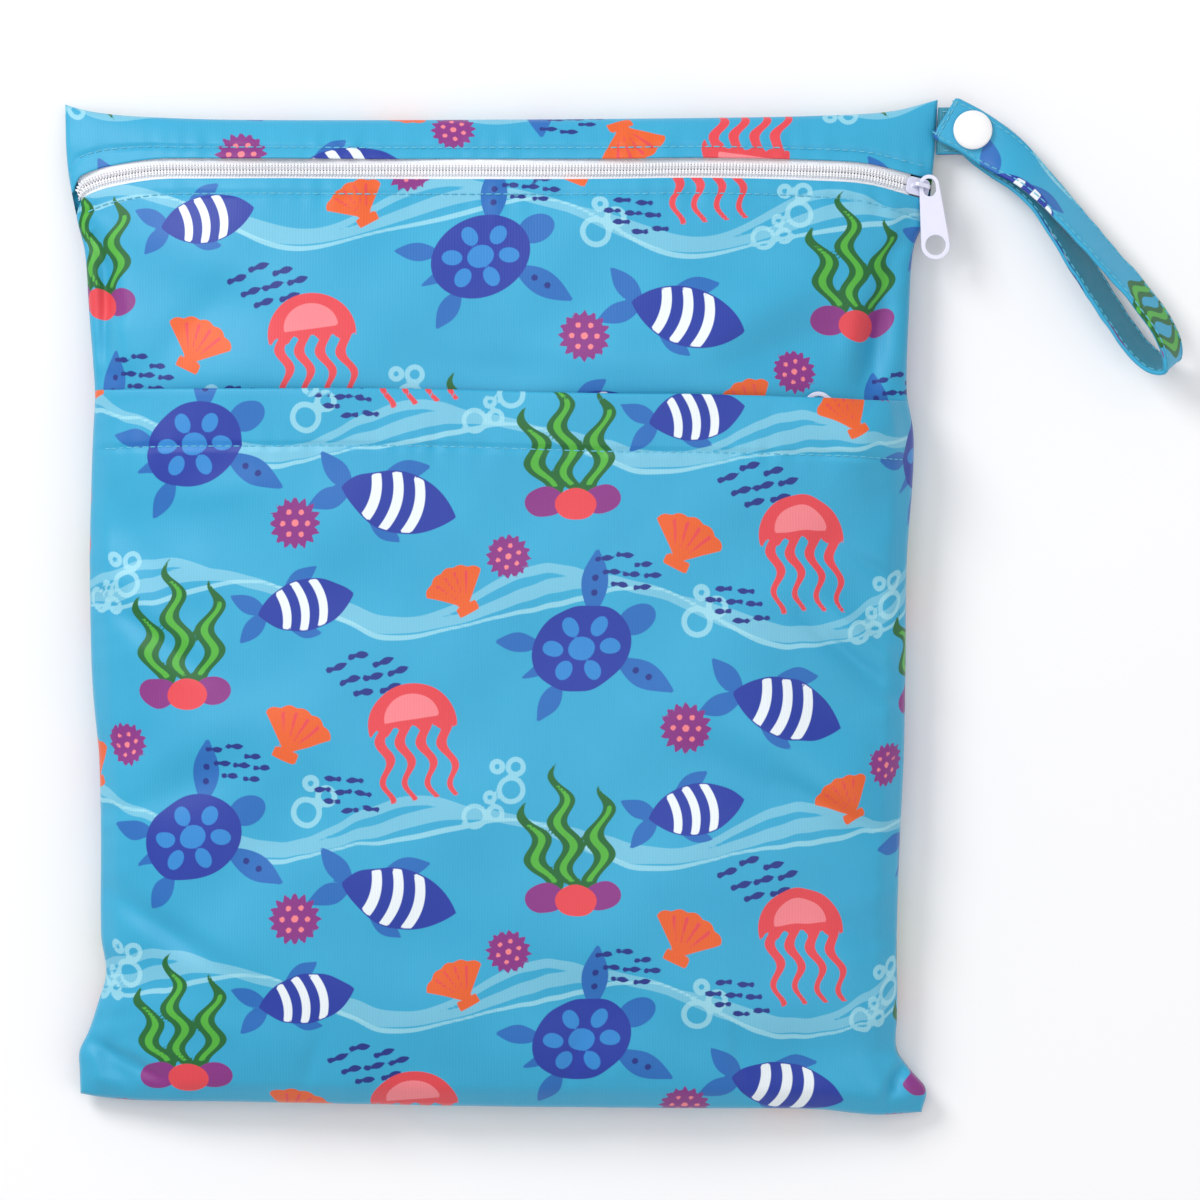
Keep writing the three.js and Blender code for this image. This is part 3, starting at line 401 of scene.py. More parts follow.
def seam_puckers(across, up, height):
    """Puckers square to the side seams and the bottom seam."""
    x, y = (across - 0.5) * BAG_WIDTH, (up - 0.5) * BAG_HEIGHT
    seams = {"left": (across * BAG_WIDTH, y), "right": ((1 - across) * BAG_WIDTH, y),
             "bottom": (up * BAG_HEIGHT, x)}
    total = 0
    for seam, strength, reach, wavelength, lean, phase in SEAM_PUCKERS:
        away, along = seams[seam]
        total = total + strength * np.exp(-away / reach) * ripple(along + lean * away, wavelength, phase)
    return height * total


def line_puckers(x, distance, height, pitch, phase):
    """Small puckers on both sides of a row of stitches, and the groove that the thread pulls in."""
    fine = height * np.exp(-np.abs(distance) / 4.5) * ripple(x, pitch, phase)
    return fine - 0.45 * np.exp(-((distance / 0.9) ** 2))


def creases(x, y, rows):
    """The creases of one panel, each deepest at its middle."""
    height = 0
    for from_x, from_y, to_x, to_y, width, depth in rows:
        away, along = away_from(x, y, (from_x, from_y), (to_x, to_y))
        strength = CREASE_DEPTH * depth * np.sin(math.pi * (0.08 + 0.84 * along))
        height = height + strength * np.exp(-((away / width) ** 2))
    return height


def zip_stitch_below(across):
    """Distance in mm from the zip's middle line down to the row of stitches below it."""
    return 9.3 + 1.2 * ease((across - 0.8) * 5)


def zip_stitch_above(across):
    """Distance in mm from the zip's middle line up to the row of stitches above it."""
    return 7.6 + 2.6 * ease((0.15 - across) * 7)


def relief(across, up, kind, height):
    """Height in mm of the cloth's folds, puckers and grooves at a point of a panel."""
    x, y = outline(across, up)
    inward = ease(side_distance(across) / EDGE_FADE) * ease(end_distance(up) / EDGE_FADE)
    total = slow_waves(x, y) * inward + seam_puckers(across, up, PUCKER_HEIGHT)
    from_zip = (up - zip_up(across)) * BAG_HEIGHT
    from_fold = (up - pocket_up(across)) * BAG_HEIGHT
    row = ROW_PUCKERS[kind]
    if kind == "front":
        total = total + creases(x, y, FRONT_CREASES)
        total = total + line_puckers(x, from_zip + zip_stitch_below(across), *row)
        limit = np.where(np.abs(from_zip) < ZIP_REACH, SINK_OVER_TAPE, SINK_FREE)
        total = np.maximum(total * ease((from_fold + FOLD_FADE_BELOW) / FOLD_FADE), limit)
    elif kind == "pocket":
        total = total * 0.9 + creases(x, y, POCKET_CREASES)
        total = total + line_puckers(x, from_fold + HEM_DEPTH, *row) * ease(side_distance(across) / 6)
        total = np.maximum(total, SINK_OVER_FRONT)
    else:
        total = total * 0.6 + line_puckers(x, from_zip - zip_stitch_above(across), *row)
        total = np.maximum(total, SINK_OVER_TAPE)
    return total * height


def panel_point(kind, across, up, rim, height):
    """A point on the outer face of a panel, with its relief. kind is front, pocket or band."""
    lift = 0
    if kind == "front":
        lift = -pocket_sink(across, up)
    elif kind == "pocket":
        lift = pocket_lift(across, up) * roll(rim)
    point = front_point(across, up, rim, lift)
    point[..., 2] += relief(across, up, kind, height)
    return point


def steps_between(start, stop, pitch):
    """Evenly spaced values no further apart than pitch, without the last."""
    count = max(int(math.ceil((stop - start) / pitch)), 1)
    return start + (stop - start) * np.arange(count) / count


# Distances in mm from a seam of the rows and columns over its rolled edge
ROLL_STEPS = np.array([0, 0.12, 0.35, 0.7, 1.1]) * SEAM_ROUND / 1.5


def column_sides(pitch):
    """Distances from the left side seam of the columns of a panel."""
    middle = steps_between(SEAM_ROUND, BAG_WIDTH - SEAM_ROUND, pitch)
    return np.concatenate([ROLL_STEPS, middle, [BAG_WIDTH - SEAM_ROUND], (BAG_WIDTH - ROLL_STEPS)[::-1]])


def unit(vectors):
    """Vectors brought to length 1."""
    return vectors / np.maximum(np.linalg.norm(vectors, axis=-1, keepdims=True), 1e-9)


def turned_edge(grid, radius, inner):
    """Adds rows after the grid's last row, which turn the cloth's edge in and run back under it."""
    step = float(np.median(np.linalg.norm(grid[-1] - grid[-2], axis=-1)))
    kept = grid[:-1 - int(math.ceil(radius / step))]
    edge = grid[-1]
    way = unit(edge - kept[-1])
    across = np.gradient(edge, axis=0)
    out = unit(np.cross(across, way))
    out *= np.where(out[..., 2:] < 0, -1, 1)
    base = edge - radius * way
    turn = [base + radius * (math.sin(a) * way + (math.cos(a) - 1) * out)
            for a in np.linspace(0.4, math.pi, 8)]
    under = [base - 2 * radius * out - far * way for far in inner]
    return np.concatenate([kept, [base], turn, under])


def cloth_lengths(grid, middle_row):
    """Distances along the cloth, in mm, from the middle column and up from one row."""
    sideways = np.linalg.norm(np.diff(grid, axis=1), axis=-1)
    u = np.concatenate([np.zeros((len(grid), 1)), np.cumsum(sideways, axis=1)], axis=1)
    u -= u[:, [grid.shape[1] // 2]]
    upward = np.linalg.norm(np.diff(grid, axis=0), axis=-1)
    v = np.concatenate([np.zeros((1, grid.shape[1])), np.cumsum(upward, axis=0)], axis=0)
    v -= v[[middle_row]]
    return u, v


# The print, in a repeat of this size in mm, whose every second column drops by half

REPEAT_WIDTH = 139.0
REPEAT_HEIGHT = 141.0

# Distances in mm that count as far from an ink, reach of the largest motif, and half an ink's soft edge
FAR = 9.0
MOTIF_REACH = 48.0
SOFT_EDGE = 0.16


def circle(x, y, cx, cy, radius):
    """Distance from a circle's edge, below zero inside it, as all these shapes give."""
    return np.hypot(x - cx, y - cy) - radius


def oval(x, y, cx, cy, half_width, half_height, turn=0.0):
    """An ellipse, as a distance that is right near its edge."""
    c, s = math.cos(math.radians(turn)), math.sin(math.radians(turn))
    px, py = (x - cx) * c + (y - cy) * s, (y - cy) * c - (x - cx) * s
    k0 = np.hypot(px / half_width, py / half_height)
    k1 = np.hypot(px / half_width**2, py / half_height**2)
    return k0 * (k0 - 1) / np.maximum(k1, 1e-6)


def bar(x, y, start, end, start_radius, end_radius):
    """A rounded bar between two points whose radius changes along it."""
    away, along = away_from(x, y, start, end)
    return away - (start_radius + (end_radius - start_radius) * along)


def leaf(x, y, start, end, width):
    """A leaf pointed at both ends."""
    away, along = away_from(x, y, start, end)
    return away - width * np.sin(math.pi * (0.06 + 0.88 * along)) + 0.05


def joined(*shapes):
    """Several shapes as one."""
    return np.minimum.reduce(shapes)


def within(shape, limit):
    """The part of a shape that lies inside another."""
    return np.maximum(shape, limit)


def turtle(x, y):
    """Sea turtle from above: flippers, round head, shell with plates."""
    shell = oval(x, y, 0, 0, 16.5, 13)
    flippers = joined(
        leaf(x, y, (8, 8), (19, 25), 4.3), leaf(x, y, (8, -8), (19, -25), 4.3),
        leaf(x, y, (-11, 7), (-23, 14), 3.2), leaf(x, y, (-11, -7), (-23, -14), 3.2),
        oval(x, y, 20, 0, 6.2, 4.6), bar(x, y, (-14, 0), (-21, 0), 2.4, 0.4),
    )
    plates = [oval(x, y, 0, 0, 4.4, 3.6)]
    plates += [oval(x, y, 9.6 * math.cos(a), 7.4 * math.sin(a), 3.3, 2.5, math.degrees(a))
               for a in np.arange(6) * math.pi / 3 + math.pi / 6]
    spots = joined(*[circle(x, y, px, py, 1.1) for px, py in ((12, 14), (14.5, 18), (12, -14), (14.5, -18))])
    return {"royal": shell, "mid": flippers, "sky": within(joined(*plates), shell + 1),
            "navy": within(spots, flippers)}


def striped_fish(x, y):
    """Plain striped fish in profile."""
    body = within(circle(x, y, 0, -12, 21), circle(x, y, 0, 12, 21))
    tail = joined(leaf(x, y, (-14, 0), (-25, 8), 3.2), leaf(x, y, (-14, 0), (-25, -8), 3.2))
    fins = joined(leaf(x, y, (-6, 7), (6, 12), 3.0), leaf(x, y, (-7, -7), (3, -11), 2.4))
    stripes = joined(*[np.abs(x - sx + 0.03 * y * y) - 1.5 for sx in (-7, -0.5, 6)])
    return {"royal": body, "mid": joined(tail, fins), "white": within(stripes, body + 0.4)}


def jelly(x, y):
    """Jellyfish: a dome with a frilled rim and long waving arms."""
    rim = 1.1 * np.cos(x * 2 * math.pi / 5.2)
    dome = within(oval(x, y, 0, 0, 13, 12), -y - 1.2 + rim)
    inner = within(oval(x, y, 0, 2, 8, 7), -y + 1.5)
    arms = []
    for foot, sway in ((-8.5, 0.3), (-2.9, 0.9), (2.9, 1.4), (8.5, 2.0)):
        middle = foot * (1 + 0.008 * np.abs(y)) + 1.4 * np.sin(y * 2 * math.pi / 12 + sway)
        thick = 1.55 * np.clip((y + 27) / 20, 0.55, 1)
        arms.append(within((np.abs(x - middle) - thick) * 0.8, np.maximum(y, -y - 22)))
    return {"coral": joined(dome, *arms), "rose": inner}


def scallop(x, y):
    """Scallop shell with ribs."""
    angle = np.arctan2(x, y + 8)
    radius = np.hypot(x, y + 8)
    edge = 17 + 0.9 * np.abs(np.cos(angle * 9))
    fan = np.maximum(radius - edge, (np.abs(angle) - 0.86) * radius * 0.9)
    foot = within(np.abs(y + 8.4) - 2.0, np.abs(x) - 4.6)
    ribs = (np.abs(np.mod(angle + 0.96, 0.32) - 0.16) - 0.045) * radius
    return {"orange": joined(fan, foot), "coral": within(within(ribs, fan + 1.6), 5.5 - radius)}


def weed(x, y):
    """Sea grass: wavy blades of two greens from a pile of round stones."""
    blades, light = [], []
    for foot, tall, lean, sway in ((-6, 26, -5, 0.2), (0, 36, -1, 1.5), (6, 29, 6, 3.4)):
        t = np.clip(y / tall, 0, 1)
        middle = foot + lean * t + 1.9 * np.sin(y * 2 * math.pi / 13 + sway)
        thick = 3.1 * np.sin(math.pi * (0.18 + 0.8 * t))
        blades.append(within((np.abs(x - middle) - thick) * 0.85, np.maximum(-y, y - tall)))
        light.append(within((np.abs(x - middle) - 0.36 * thick) * 0.85, np.maximum(3 - y, y - tall + 6)))
    stones = joined(oval(x, y, -8, -1, 5.6, 4.2), oval(x, y, 8, -1.5, 5.2, 4.0))
    return {"green": joined(*blades), "leaf": joined(*light), "purple": stones,
            "coral": oval(x, y, 0.5, -2.2, 5.8, 4.4)}


def urchin(x, y):
    """Round sea urchin with short spines."""
    angle, radius = np.arctan2(y, x), np.hypot(x, y)
    spines = 2.5 * np.abs(np.mod(angle * 16 / (2 * math.pi), 1) * 2 - 1)
    body = (radius - 6.4 - spines) * 0.7
    spots = joined(*[circle(x, y, 4.1 * math.cos(a), 4.1 * math.sin(a), 0.95)
                     for a in np.arange(6) * math.pi / 3])
    return {"purple": body, "rose": joined(spots, circle(x, y, 0, 0, 1.2))}


def bubbles(x, y):
    """Three rings."""
    rings = [np.abs(circle(x, y, cx, cy, r)) - 0.9
             for cx, cy, r in ((0, 0, 4.2), (6.5, 5.2, 2.7), (1.5, 9.5, 1.9))]
    return {"foam": joined(*rings)}


def minnows(x, y):
    """A shoal of tiny darts."""
    darts = []
    for px, py in ((0, 0), (7, 2.6), (14, 0.4), (3.5, -4.4), (10.5, -3.6), (18, -3.0), (7, -8.2),
                   (15, -7.6)):
        darts.append(leaf(x, y, (px - 2.2, py - 0.4), (px + 2.3, py + 0.4), 1.15))
        darts.append(bar(x, y, (px - 1.6, py - 0.3), (px - 3.2, py - 0.6), 0.35, 1.0))
    return {"navy": joined(*darts)}


# Where each motif stands in the repeat: x, y, turn in degrees, size
MOTIFS = [
    (turtle, 29, 34, 28, 1.12), (striped_fish, 103, 14, -14, 1.22), (jelly, 108, 76, 8, 1.22),
    (scallop, 66, 72, -24, 0.98), (weed, 26, 88, 6, 1.28), (urchin, 66, 6, 0, 1.1), (urchin, 3, 66, 20, 0.95),
    (striped_fish, 70, 118, 12, 1.02), (scallop, 124, 124, 30, 0.86), (bubbles, 70, 44, 0, 1.1),
    (bubbles, 4, 124, 40, 1.0), (bubbles, 130, 44, -30, 0.9), (minnows, 82, 96, 8, 1.2),
    (minnows, 38, 66, -10, 1.0), (minnows, 92, 46, 170, 1.0),
]

# The print's inks in the order in which they cover each other, and how strongly each covers
INKS = ("foam_wide", "foam", "green", "leaf", "mid", "royal", "navy", "sky", "purple", "orange", "coral",
        "rose", "white")
COVER = {"foam_wide": 0.38, "foam": 0.62}


def current_lines(x, y):
    """Long plain ripples that run across the whole repeat, as wide soft and narrow bright lines."""
    wide, narrow = [], []
    for base, tall, shift in ((49, 9.0, 0.0), (108, 7.5, 2.1)):
        for offset, thick, line_shift in ((0, 2.0, 0.0), (4.4, 1.15, 0.35), (-4.2, 1.0, -0.3)):
            angle = x * 2 * math.pi / REPEAT_WIDTH + shift + line_shift
            middle = base + offset * (0.7 + 0.5 * np.sin(angle * 2)) + tall * np.sin(angle)
            away = np.mod(y - middle + REPEAT_HEIGHT / 2, REPEAT_HEIGHT) - REPEAT_HEIGHT / 2
            shown = thick * (0.55 + 0.45 * np.sin(angle + 0.8) ** 2)
            (wide if thick > 1 else narrow).append((np.abs(away) - shown) * 0.9)
    return {"foam_wide": joined(*wide) - 0.6, "foam": joined(*narrow)}


def print_fields(u, v):
    """Distance in mm from each ink's edge, below zero inside it, at points of the cloth."""
    fields = {ink: np.full(u.shape, FAR) for ink in INKS}
    for ink, shape in current_lines(u, v).items():
        fields[ink] = np.minimum(fields[ink], shape)
    for motif, mx, my, turn, size in MOTIFS:
        column = np.floor((u - mx) / REPEAT_WIDTH + 0.5)
        x = u - mx - column * REPEAT_WIDTH
        y = v - my - np.mod(column, 2) * REPEAT_HEIGHT / 2
        y = np.mod(y + REPEAT_HEIGHT / 2, REPEAT_HEIGHT) - REPEAT_HEIGHT / 2
        c, s = math.cos(math.radians(turn)), math.sin(math.radians(turn))
        px, py = (x * c + y * s) / size, (y * c - x * s) / size
        near = np.hypot(px, py) < MOTIF_REACH
        if not near.any():
            continue
        for ink, shape in motif(px[near], py[near]).items():
            fields[ink][near] = np.minimum(fields[ink][near], shape * size)
    return {ink: np.clip(field, -FAR, FAR) for ink, field in fields.items()}


def new_mesh_object(name, vertices, faces):
    """A smooth mesh object from arrays: vertices in mm, faces with three or four corners."""
    mesh = bpy.data.meshes.new(name)
    faces = faces.tolist() if isinstance(faces, np.ndarray) else faces
    mesh.from_pydata((np.asarray(vertices).reshape(-1, 3) * MM).tolist(), [], faces)
    mesh.validate()
    mesh.shade_smooth()
    piece = bpy.data.objects.new(name, mesh)
    bpy.context.collection.objects.link(piece)
    return piece


def grid_faces(rows, columns, ring=False):
    """Faces of a grid of rows by columns. ring joins its last column to its first."""
    last = columns if ring else columns - 1
    row, column = np.meshgrid(np.arange(rows - 1), np.arange(last), indexing="ij")
    near, far, after = row * columns, (row + 1) * columns, (column + 1) % columns
    return np.stack([near + column, near + after, far + after, far + column], axis=-1).reshape(-1, 4)


def write_print(piece, u, v, start):
    """Stores the cloth's lengths and the print's distances on a piece's points."""
    mesh = piece.data
    u, v = np.asarray(u, dtype=float).ravel(), np.asarray(v, dtype=float).ravel()
    lengths = mesh.attributes.new("cloth", "FLOAT_VECTOR", "POINT")
    vectors = np.stack([u, v, np.zeros_like(u)], axis=-1)
    lengths.data.foreach_set("vector", vectors.astype(np.float32).ravel())
    for ink, field in print_fields(u + start[0], v + start[1]).items():
        layer = mesh.attributes.new("ink_" + ink, "FLOAT", "POINT")
        layer.data.foreach_set("value", field.astype(np.float32))


def cloth_piece(name, grid, middle_row, start, material, node):
    """A printed panel from a grid of points in mm, in the place of its CAD node."""
    piece = new_mesh_object(name, grid, grid_faces(*grid.shape[:2]))
    write_print(piece, *cloth_lengths(grid, middle_row), start)
    piece.data.materials.append(material)
    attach(piece, "bag")
    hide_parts(node)
    return piece


# Materials


def linear(hex_colour):
    """A colour written as #RRGGBB, as linear red, green, blue and alpha."""
    parts = [int(hex_colour[i:i + 2], 16) / 255 for i in (1, 3, 5)]
    return (*[p / 12.92 if p <= 0.04045 else ((p + 0.055) / 1.055) ** 2.4 for p in parts], 1.0)


def add_node(tree, kind, settings=None, inputs=None):
    """One node with its settings, and its inputs linked or set by name or number."""
    node = tree.nodes.new(kind)
    for name, value in (settings or {}).items():
        setattr(node, name, value)
    for name, value in (inputs or {}).items():
        if isinstance(value, bpy.types.NodeSocket):
            tree.links.new(value, node.inputs[name])
        else:
            node.inputs[name].default_value = value
    return node


def new_material(name):
    """An empty material and its tree."""
    material = bpy.data.materials.new(name)
    material.use_nodes = True
    material.node_tree.nodes.clear()
    return material, material.node_tree


def finish_material(tree, inputs):
    """Ends a tree with its shader and output."""
    shader = add_node(tree, "ShaderNodeBsdfPrincipled", {}, inputs)
    add_node(tree, "ShaderNodeOutputMaterial", {}, {"Surface": shader.outputs[0]})


def maths(tree, operation, *values):
    """Result of one Math node."""
    return add_node(tree, "ShaderNodeMath", {"operation": operation}, dict(enumerate(values))).outputs[0]


def mixed(tree, factor, first, second):
    """Two colours mixed by a factor."""
    inputs = {0: factor, 6: first, 7: second}
    return add_node(tree, "ShaderNodeMix", {"data_type": "RGBA"}, inputs).outputs[2]


def noise(tree, vector, scale, detail=2.0):
    """Value of a noise texture."""
    inputs = {"Vector": vector, "Scale": scale, "Detail": detail}
    return add_node(tree, "ShaderNodeTexNoise", {}, inputs).outputs[0]


def bumped(tree, height, strength, depth):
    """Normal of a relief whose depth is in mm."""
    inputs = {"Strength": strength, "Distance": depth * MM, "Height": height}
    return add_node(tree, "ShaderNodeBump", {}, inputs).outputs[0]


def knit_height(tree, lengths, wale):
    """Height of a fine knit: rows of small loops across and along the cloth, in mm lengths."""
    parts = add_node(tree, "ShaderNodeSeparateXYZ", {}, {0: lengths})
    turn = 2 * math.pi / wale
    columns = maths(tree, "SINE", maths(tree, "MULTIPLY", parts.outputs[0], turn))
    courses = maths(tree, "SINE", maths(tree, "MULTIPLY", parts.outputs[1], turn * 1.25))
    loops = maths(tree, "ADD", maths(tree, "MULTIPLY", columns, 0.7), maths(tree, "MULTIPLY", courses, 0.3))
    stretched = {"Vector": lengths, "Scale": (1.6, 0.06, 1.0)}
    streaks = noise(tree, add_node(tree, "ShaderNodeMapping", {}, stretched).outputs[0], 1.0, 3.0)
    return maths(tree, "ADD", loops, maths(tree, "MULTIPLY", streaks, 1.6))


def printed_cloth(name, settings):
    """Printed knit cloth: inks over the ground, a faint mottle, a satin sheen and the knit's relief."""
    material, tree = new_material(name)
    lengths = add_node(tree, "ShaderNodeAttribute", {"attribute_name": "cloth"}).outputs["Vector"]
    mottle = noise(tree, lengths, 0.03, 3.0)
    colour = mixed(tree, mottle, linear(settings.ground_low), linear(settings.ground_high))
    for ink in INKS:
        field = add_node(tree, "ShaderNodeAttribute", {"attribute_name": "ink_" + ink}).outputs["Fac"]
        inputs = {"Value": field, "From Min": -SOFT_EDGE, "From Max": SOFT_EDGE,
                  "To Min": COVER.get(ink, 1.0), "To Max": 0.0}
        cover = add_node(tree, "ShaderNodeMapRange", {"clamp": True}, inputs).outputs[0]
        colour = mixed(tree, cover, colour, linear(getattr(settings, ink.split("_")[0])))
    knit = knit_height(tree, lengths, settings.wale / MM)
    # The knit's height also scales the colour a little, darker in its low places: painted shade of the knit's
    # loops and streaks
    inputs = {0: colour, "Scale": maths(tree, "MULTIPLY_ADD", knit, 0.035, 0.96)}
    shaded = add_node(tree, "ShaderNodeVectorMath", {"operation": "SCALE"}, inputs).outputs[0]
    finish_material(tree, {
        "Base Color": shaded, "Roughness": 0.52, "IOR": 1.5, "Sheen Weight": 0.18, "Sheen Roughness": 0.45,
        "Sheen Tint": linear("#CFEAF5"), "Normal": bumped(tree, knit, 0.35, 0.05),
    })
    return material


def ribbed_cloth(name, hex_colour, pitch, roughness):
    """Plain woven cloth such as zip tape, with ribs whose pitch is in mm."""
    material, tree = new_material(name)
    place = add_node(tree, "ShaderNodeTexCoord").outputs["Object"]
    parts = add_node(tree, "ShaderNodeSeparateXYZ", {}, {0: place})
    ribs = maths(tree, "SINE", maths(tree, "MULTIPLY", parts.outputs[0], 2 * math.pi / (pitch * MM)))
    rows = maths(tree, "SINE", maths(tree, "MULTIPLY", parts.outputs[1], 2 * math.pi / (pitch * 1.3 * MM)))
    weave = maths(tree, "ADD", ribs, maths(tree, "MULTIPLY", rows, 0.6))
    tone = maths(tree, "MULTIPLY", noise(tree, place, 260.0), 0.12)
    colour = mixed(tree, tone, linear(hex_colour), linear("#A6AEC0"))
    finish_material(tree, {"Base Color": colour, "Roughness": roughness, "IOR": 1.5,
                           "Normal": bumped(tree, weave, 0.6, 0.06)})
    return material


def smooth_finish(name, hex_colour, roughness, coat):
    """Moulded resin or lacquer with faint unevenness."""
    material, tree = new_material(name)
    place = add_node(tree, "ShaderNodeTexCoord").outputs["Object"]
    speck = noise(tree, place, 900.0, 3.0)
    rough = maths(tree, "MULTIPLY_ADD", speck, 0.12, roughness - 0.06)
    uneven = noise(tree, place, 350.0)
    colour = mixed(tree, maths(tree, "MULTIPLY", uneven, 0.12), linear(hex_colour), linear("#A9A9B6"))
    finish_material(tree, {
        "Base Color": colour, "Roughness": rough, "IOR": 1.52, "Coat Weight": coat, "Coat Roughness": 0.15,
        "Normal": bumped(tree, uneven, 0.12, 0.03),
    })
    return material


# The plain finishes: how each is made, the setting of its colour, then rib pitch and roughness, or
# roughness and coat. The comments say what the real surface gives the eye
PLAIN_FINISHES = {
    # Inner face of the doubled knit: unprinted, in a teal darker than the ground that paints the shade inside
    # the strap's loop; matt, with soft ribs
    "plain_knit_painted_shade": (ribbed_cloth, "inside", 0.9, 0.6),
    # Woven polyester tape: matt white, ribs fine enough to read as grey
    "woven_tape": (ribbed_cloth, "zip_white", 0.7, 0.75),
    # Spun polyester thread: dull, with its twist just visible
    "sewing_thread": (ribbed_cloth, "thread", 0.3, 0.7),
    # Drawn nylon thread wound into a coil: white, with small dull highlights
    "nylon_coil": (smooth_finish, "zip_white", 0.45, 0.0),
    # Cast zinc under pale lacquer: smooth, with a soft clear highlight
    "lacquered_zinc": (smooth_finish, "lacquer", 0.32, 0.5),
    # Moulded resin: smooth and softly glossy
    "moulded_resin": (smooth_finish, "resin", 0.3, 0.3),
}


def finish(name, settings):
    """One of the bag's finishes, made the first time that it is asked for."""
    if name in bpy.data.materials:
        return bpy.data.materials[name]
    if name not in PLAIN_FINISHES:
        return printed_cloth(name, settings)
    make, colour, *numbers = PLAIN_FINISHES[name]
    return make(name, getattr(settings, colour), *numbers)


# Panels


def front_grid(settings):
    """Front panel from the bottom seam to its turned edge at the zip."""
    pitch = settings.grid_pitch / MM
    sides = column_sides(pitch)
    share = sides / BAG_WIDTH
    fold, zip_edge = pocket_up(share), zip_up(share) - ZIP_SLOT / 2 / BAG_HEIGHT
    bottom = NEST / BAG_HEIGHT
    hidden = steps_between(SEAM_ROUND / BAG_HEIGHT, HIDDEN_TO, HIDDEN_PITCH / BAG_HEIGHT)
    rows = [np.full_like(share, bottom + step / BAG_HEIGHT) for step in ROLL_STEPS]
    rows += [bottom + at + 0 * share for at in hidden]
    start = HIDDEN_TO + bottom
    rows += [start + (fold - start) * t for t in steps_between(0, 1, APPROACH_STEP)]
    rows += [fold + (zip_edge - fold) * t for t in np.append(steps_between(0, 1, pitch / SHOWN_FRONT), 1.0)]
    up = np.array(rows)
    inset = NEST * behind_pocket(share, up + FLAP_APPROACH / BAG_HEIGHT) / BAG_WIDTH
    across = inset + (1 - 2 * inset) * share
    rim = np.minimum(np.minimum(sides, BAG_WIDTH - sides), (up - bottom) * BAG_HEIGHT)
    grid = panel_point("front", across, up, rim, settings.relief)
    return turned_edge(grid, ZIP_TURN, ZIP_TURN_ROWS)


def pocket_grid(settings):
    """Pocket panel from the bottom seam up to its fold, and the hem turned in behind it."""
    pitch = settings.grid_pitch / MM
    sides = column_sides(pitch)
    across = sides / BAG_WIDTH
    fold = pocket_up(across)
    start = SEAM_ROUND / BAG_HEIGHT
    shares = np.append(steps_between(0, 1, pitch / POCKET_RUN), 1.0)
    rows = [np.full_like(across, step / BAG_HEIGHT) for step in ROLL_STEPS]
    rows += [start + (fold - start) * t for t in shares]
    up = np.array(rows)
    rim = np.minimum(np.minimum(sides, BAG_WIDTH - sides), up * BAG_HEIGHT)
    grid = panel_point("pocket", across, up, rim, settings.relief)
    return turned_edge(grid, HEM_TURN, HEM_TURN_ROWS)


def keel(far):
    """How far the back has come down from its seams to the flat part that it rests on."""
    return 1 - (1 - np.clip(far / REST_MARGIN, 0, 1)) ** 2


def back_grid(settings):
    """Back panel from the bottom seam round the folded top edge to the zip, and its rows up to the top."""
    sides = column_sides(settings.grid_pitch / MM)
    across = sides / BAG_WIDTH
    side_rim = np.minimum(sides, BAG_WIDTH - sides)
    ups = np.concatenate([ROLL_STEPS, steps_between(SEAM_ROUND, BAG_HEIGHT - SEAM_ROUND, BACK_PITCH),
                          BAG_HEIGHT - np.append(SEAM_ROUND, ROLL_STEPS[::-1])]) / BAG_HEIGHT
    up = ups[:, None] + 0 * across
    distance = up * BAG_HEIGHT
    end = BAG_HEIGHT - distance
    x, y = outline(across, up)
    edge = SEAM_ROUND * roll(np.minimum(np.minimum(side_rim, distance), end)) + CLEARANCE / 2 * roll(end)
    flat = keel(side_rim) * keel(np.minimum(distance, end))
    seam = seam_level(across, up)
    level = seam - edge - (seam - SEAM_ROUND - CLEARANCE / 2) * flat
    puckers = seam_puckers(across, up, PUCKER_HEIGHT) * settings.relief * ease(end / BACK_FADE)
    back = np.stack([x, y, np.maximum(level + puckers * (1 - flat), 0)], axis=-1)
    zip_edge = (1 - zip_up(across)) * BAG_HEIGHT - ZIP_SLOT / 2
    shares = np.append(steps_between(0, 1, BAND_STEP), 1.0)
    rows = [np.full_like(across, step) for step in ROLL_STEPS[1:]]
    rows += [SEAM_ROUND + (zip_edge - SEAM_ROUND) * t for t in shares]
    far = np.array(rows)
    band_up = 1 - far / BAG_HEIGHT
    band = panel_point("band", across, band_up, np.minimum(side_rim, far), settings.relief)
    band[..., 2] -= CLEARANCE / 2 * (1 - roll(far))
    band[..., 2] -= relief(across, band_up, "band", settings.relief) * (1 - ease(far / BAND_FADE))
    return turned_edge(np.concatenate([back, band]), ZIP_TURN, ZIP_TURN_ROWS), len(ups)


# The strap


def strap_anchor():
    """The strap's root at the side seam, the snap's middle in plan, and the height of the tab, in mm."""
    x, y = outline(1.0, STRAP_UP)
    root = np.array([float(x) + CLEARANCE, float(y), float(seam_level(1.0, STRAP_UP))])
    snap = np.array([root[0] + SNAP_REACH, root[1], 0.0])
    return root, snap, root[2] + STRAP_THICKNESS + SNAP_GAP


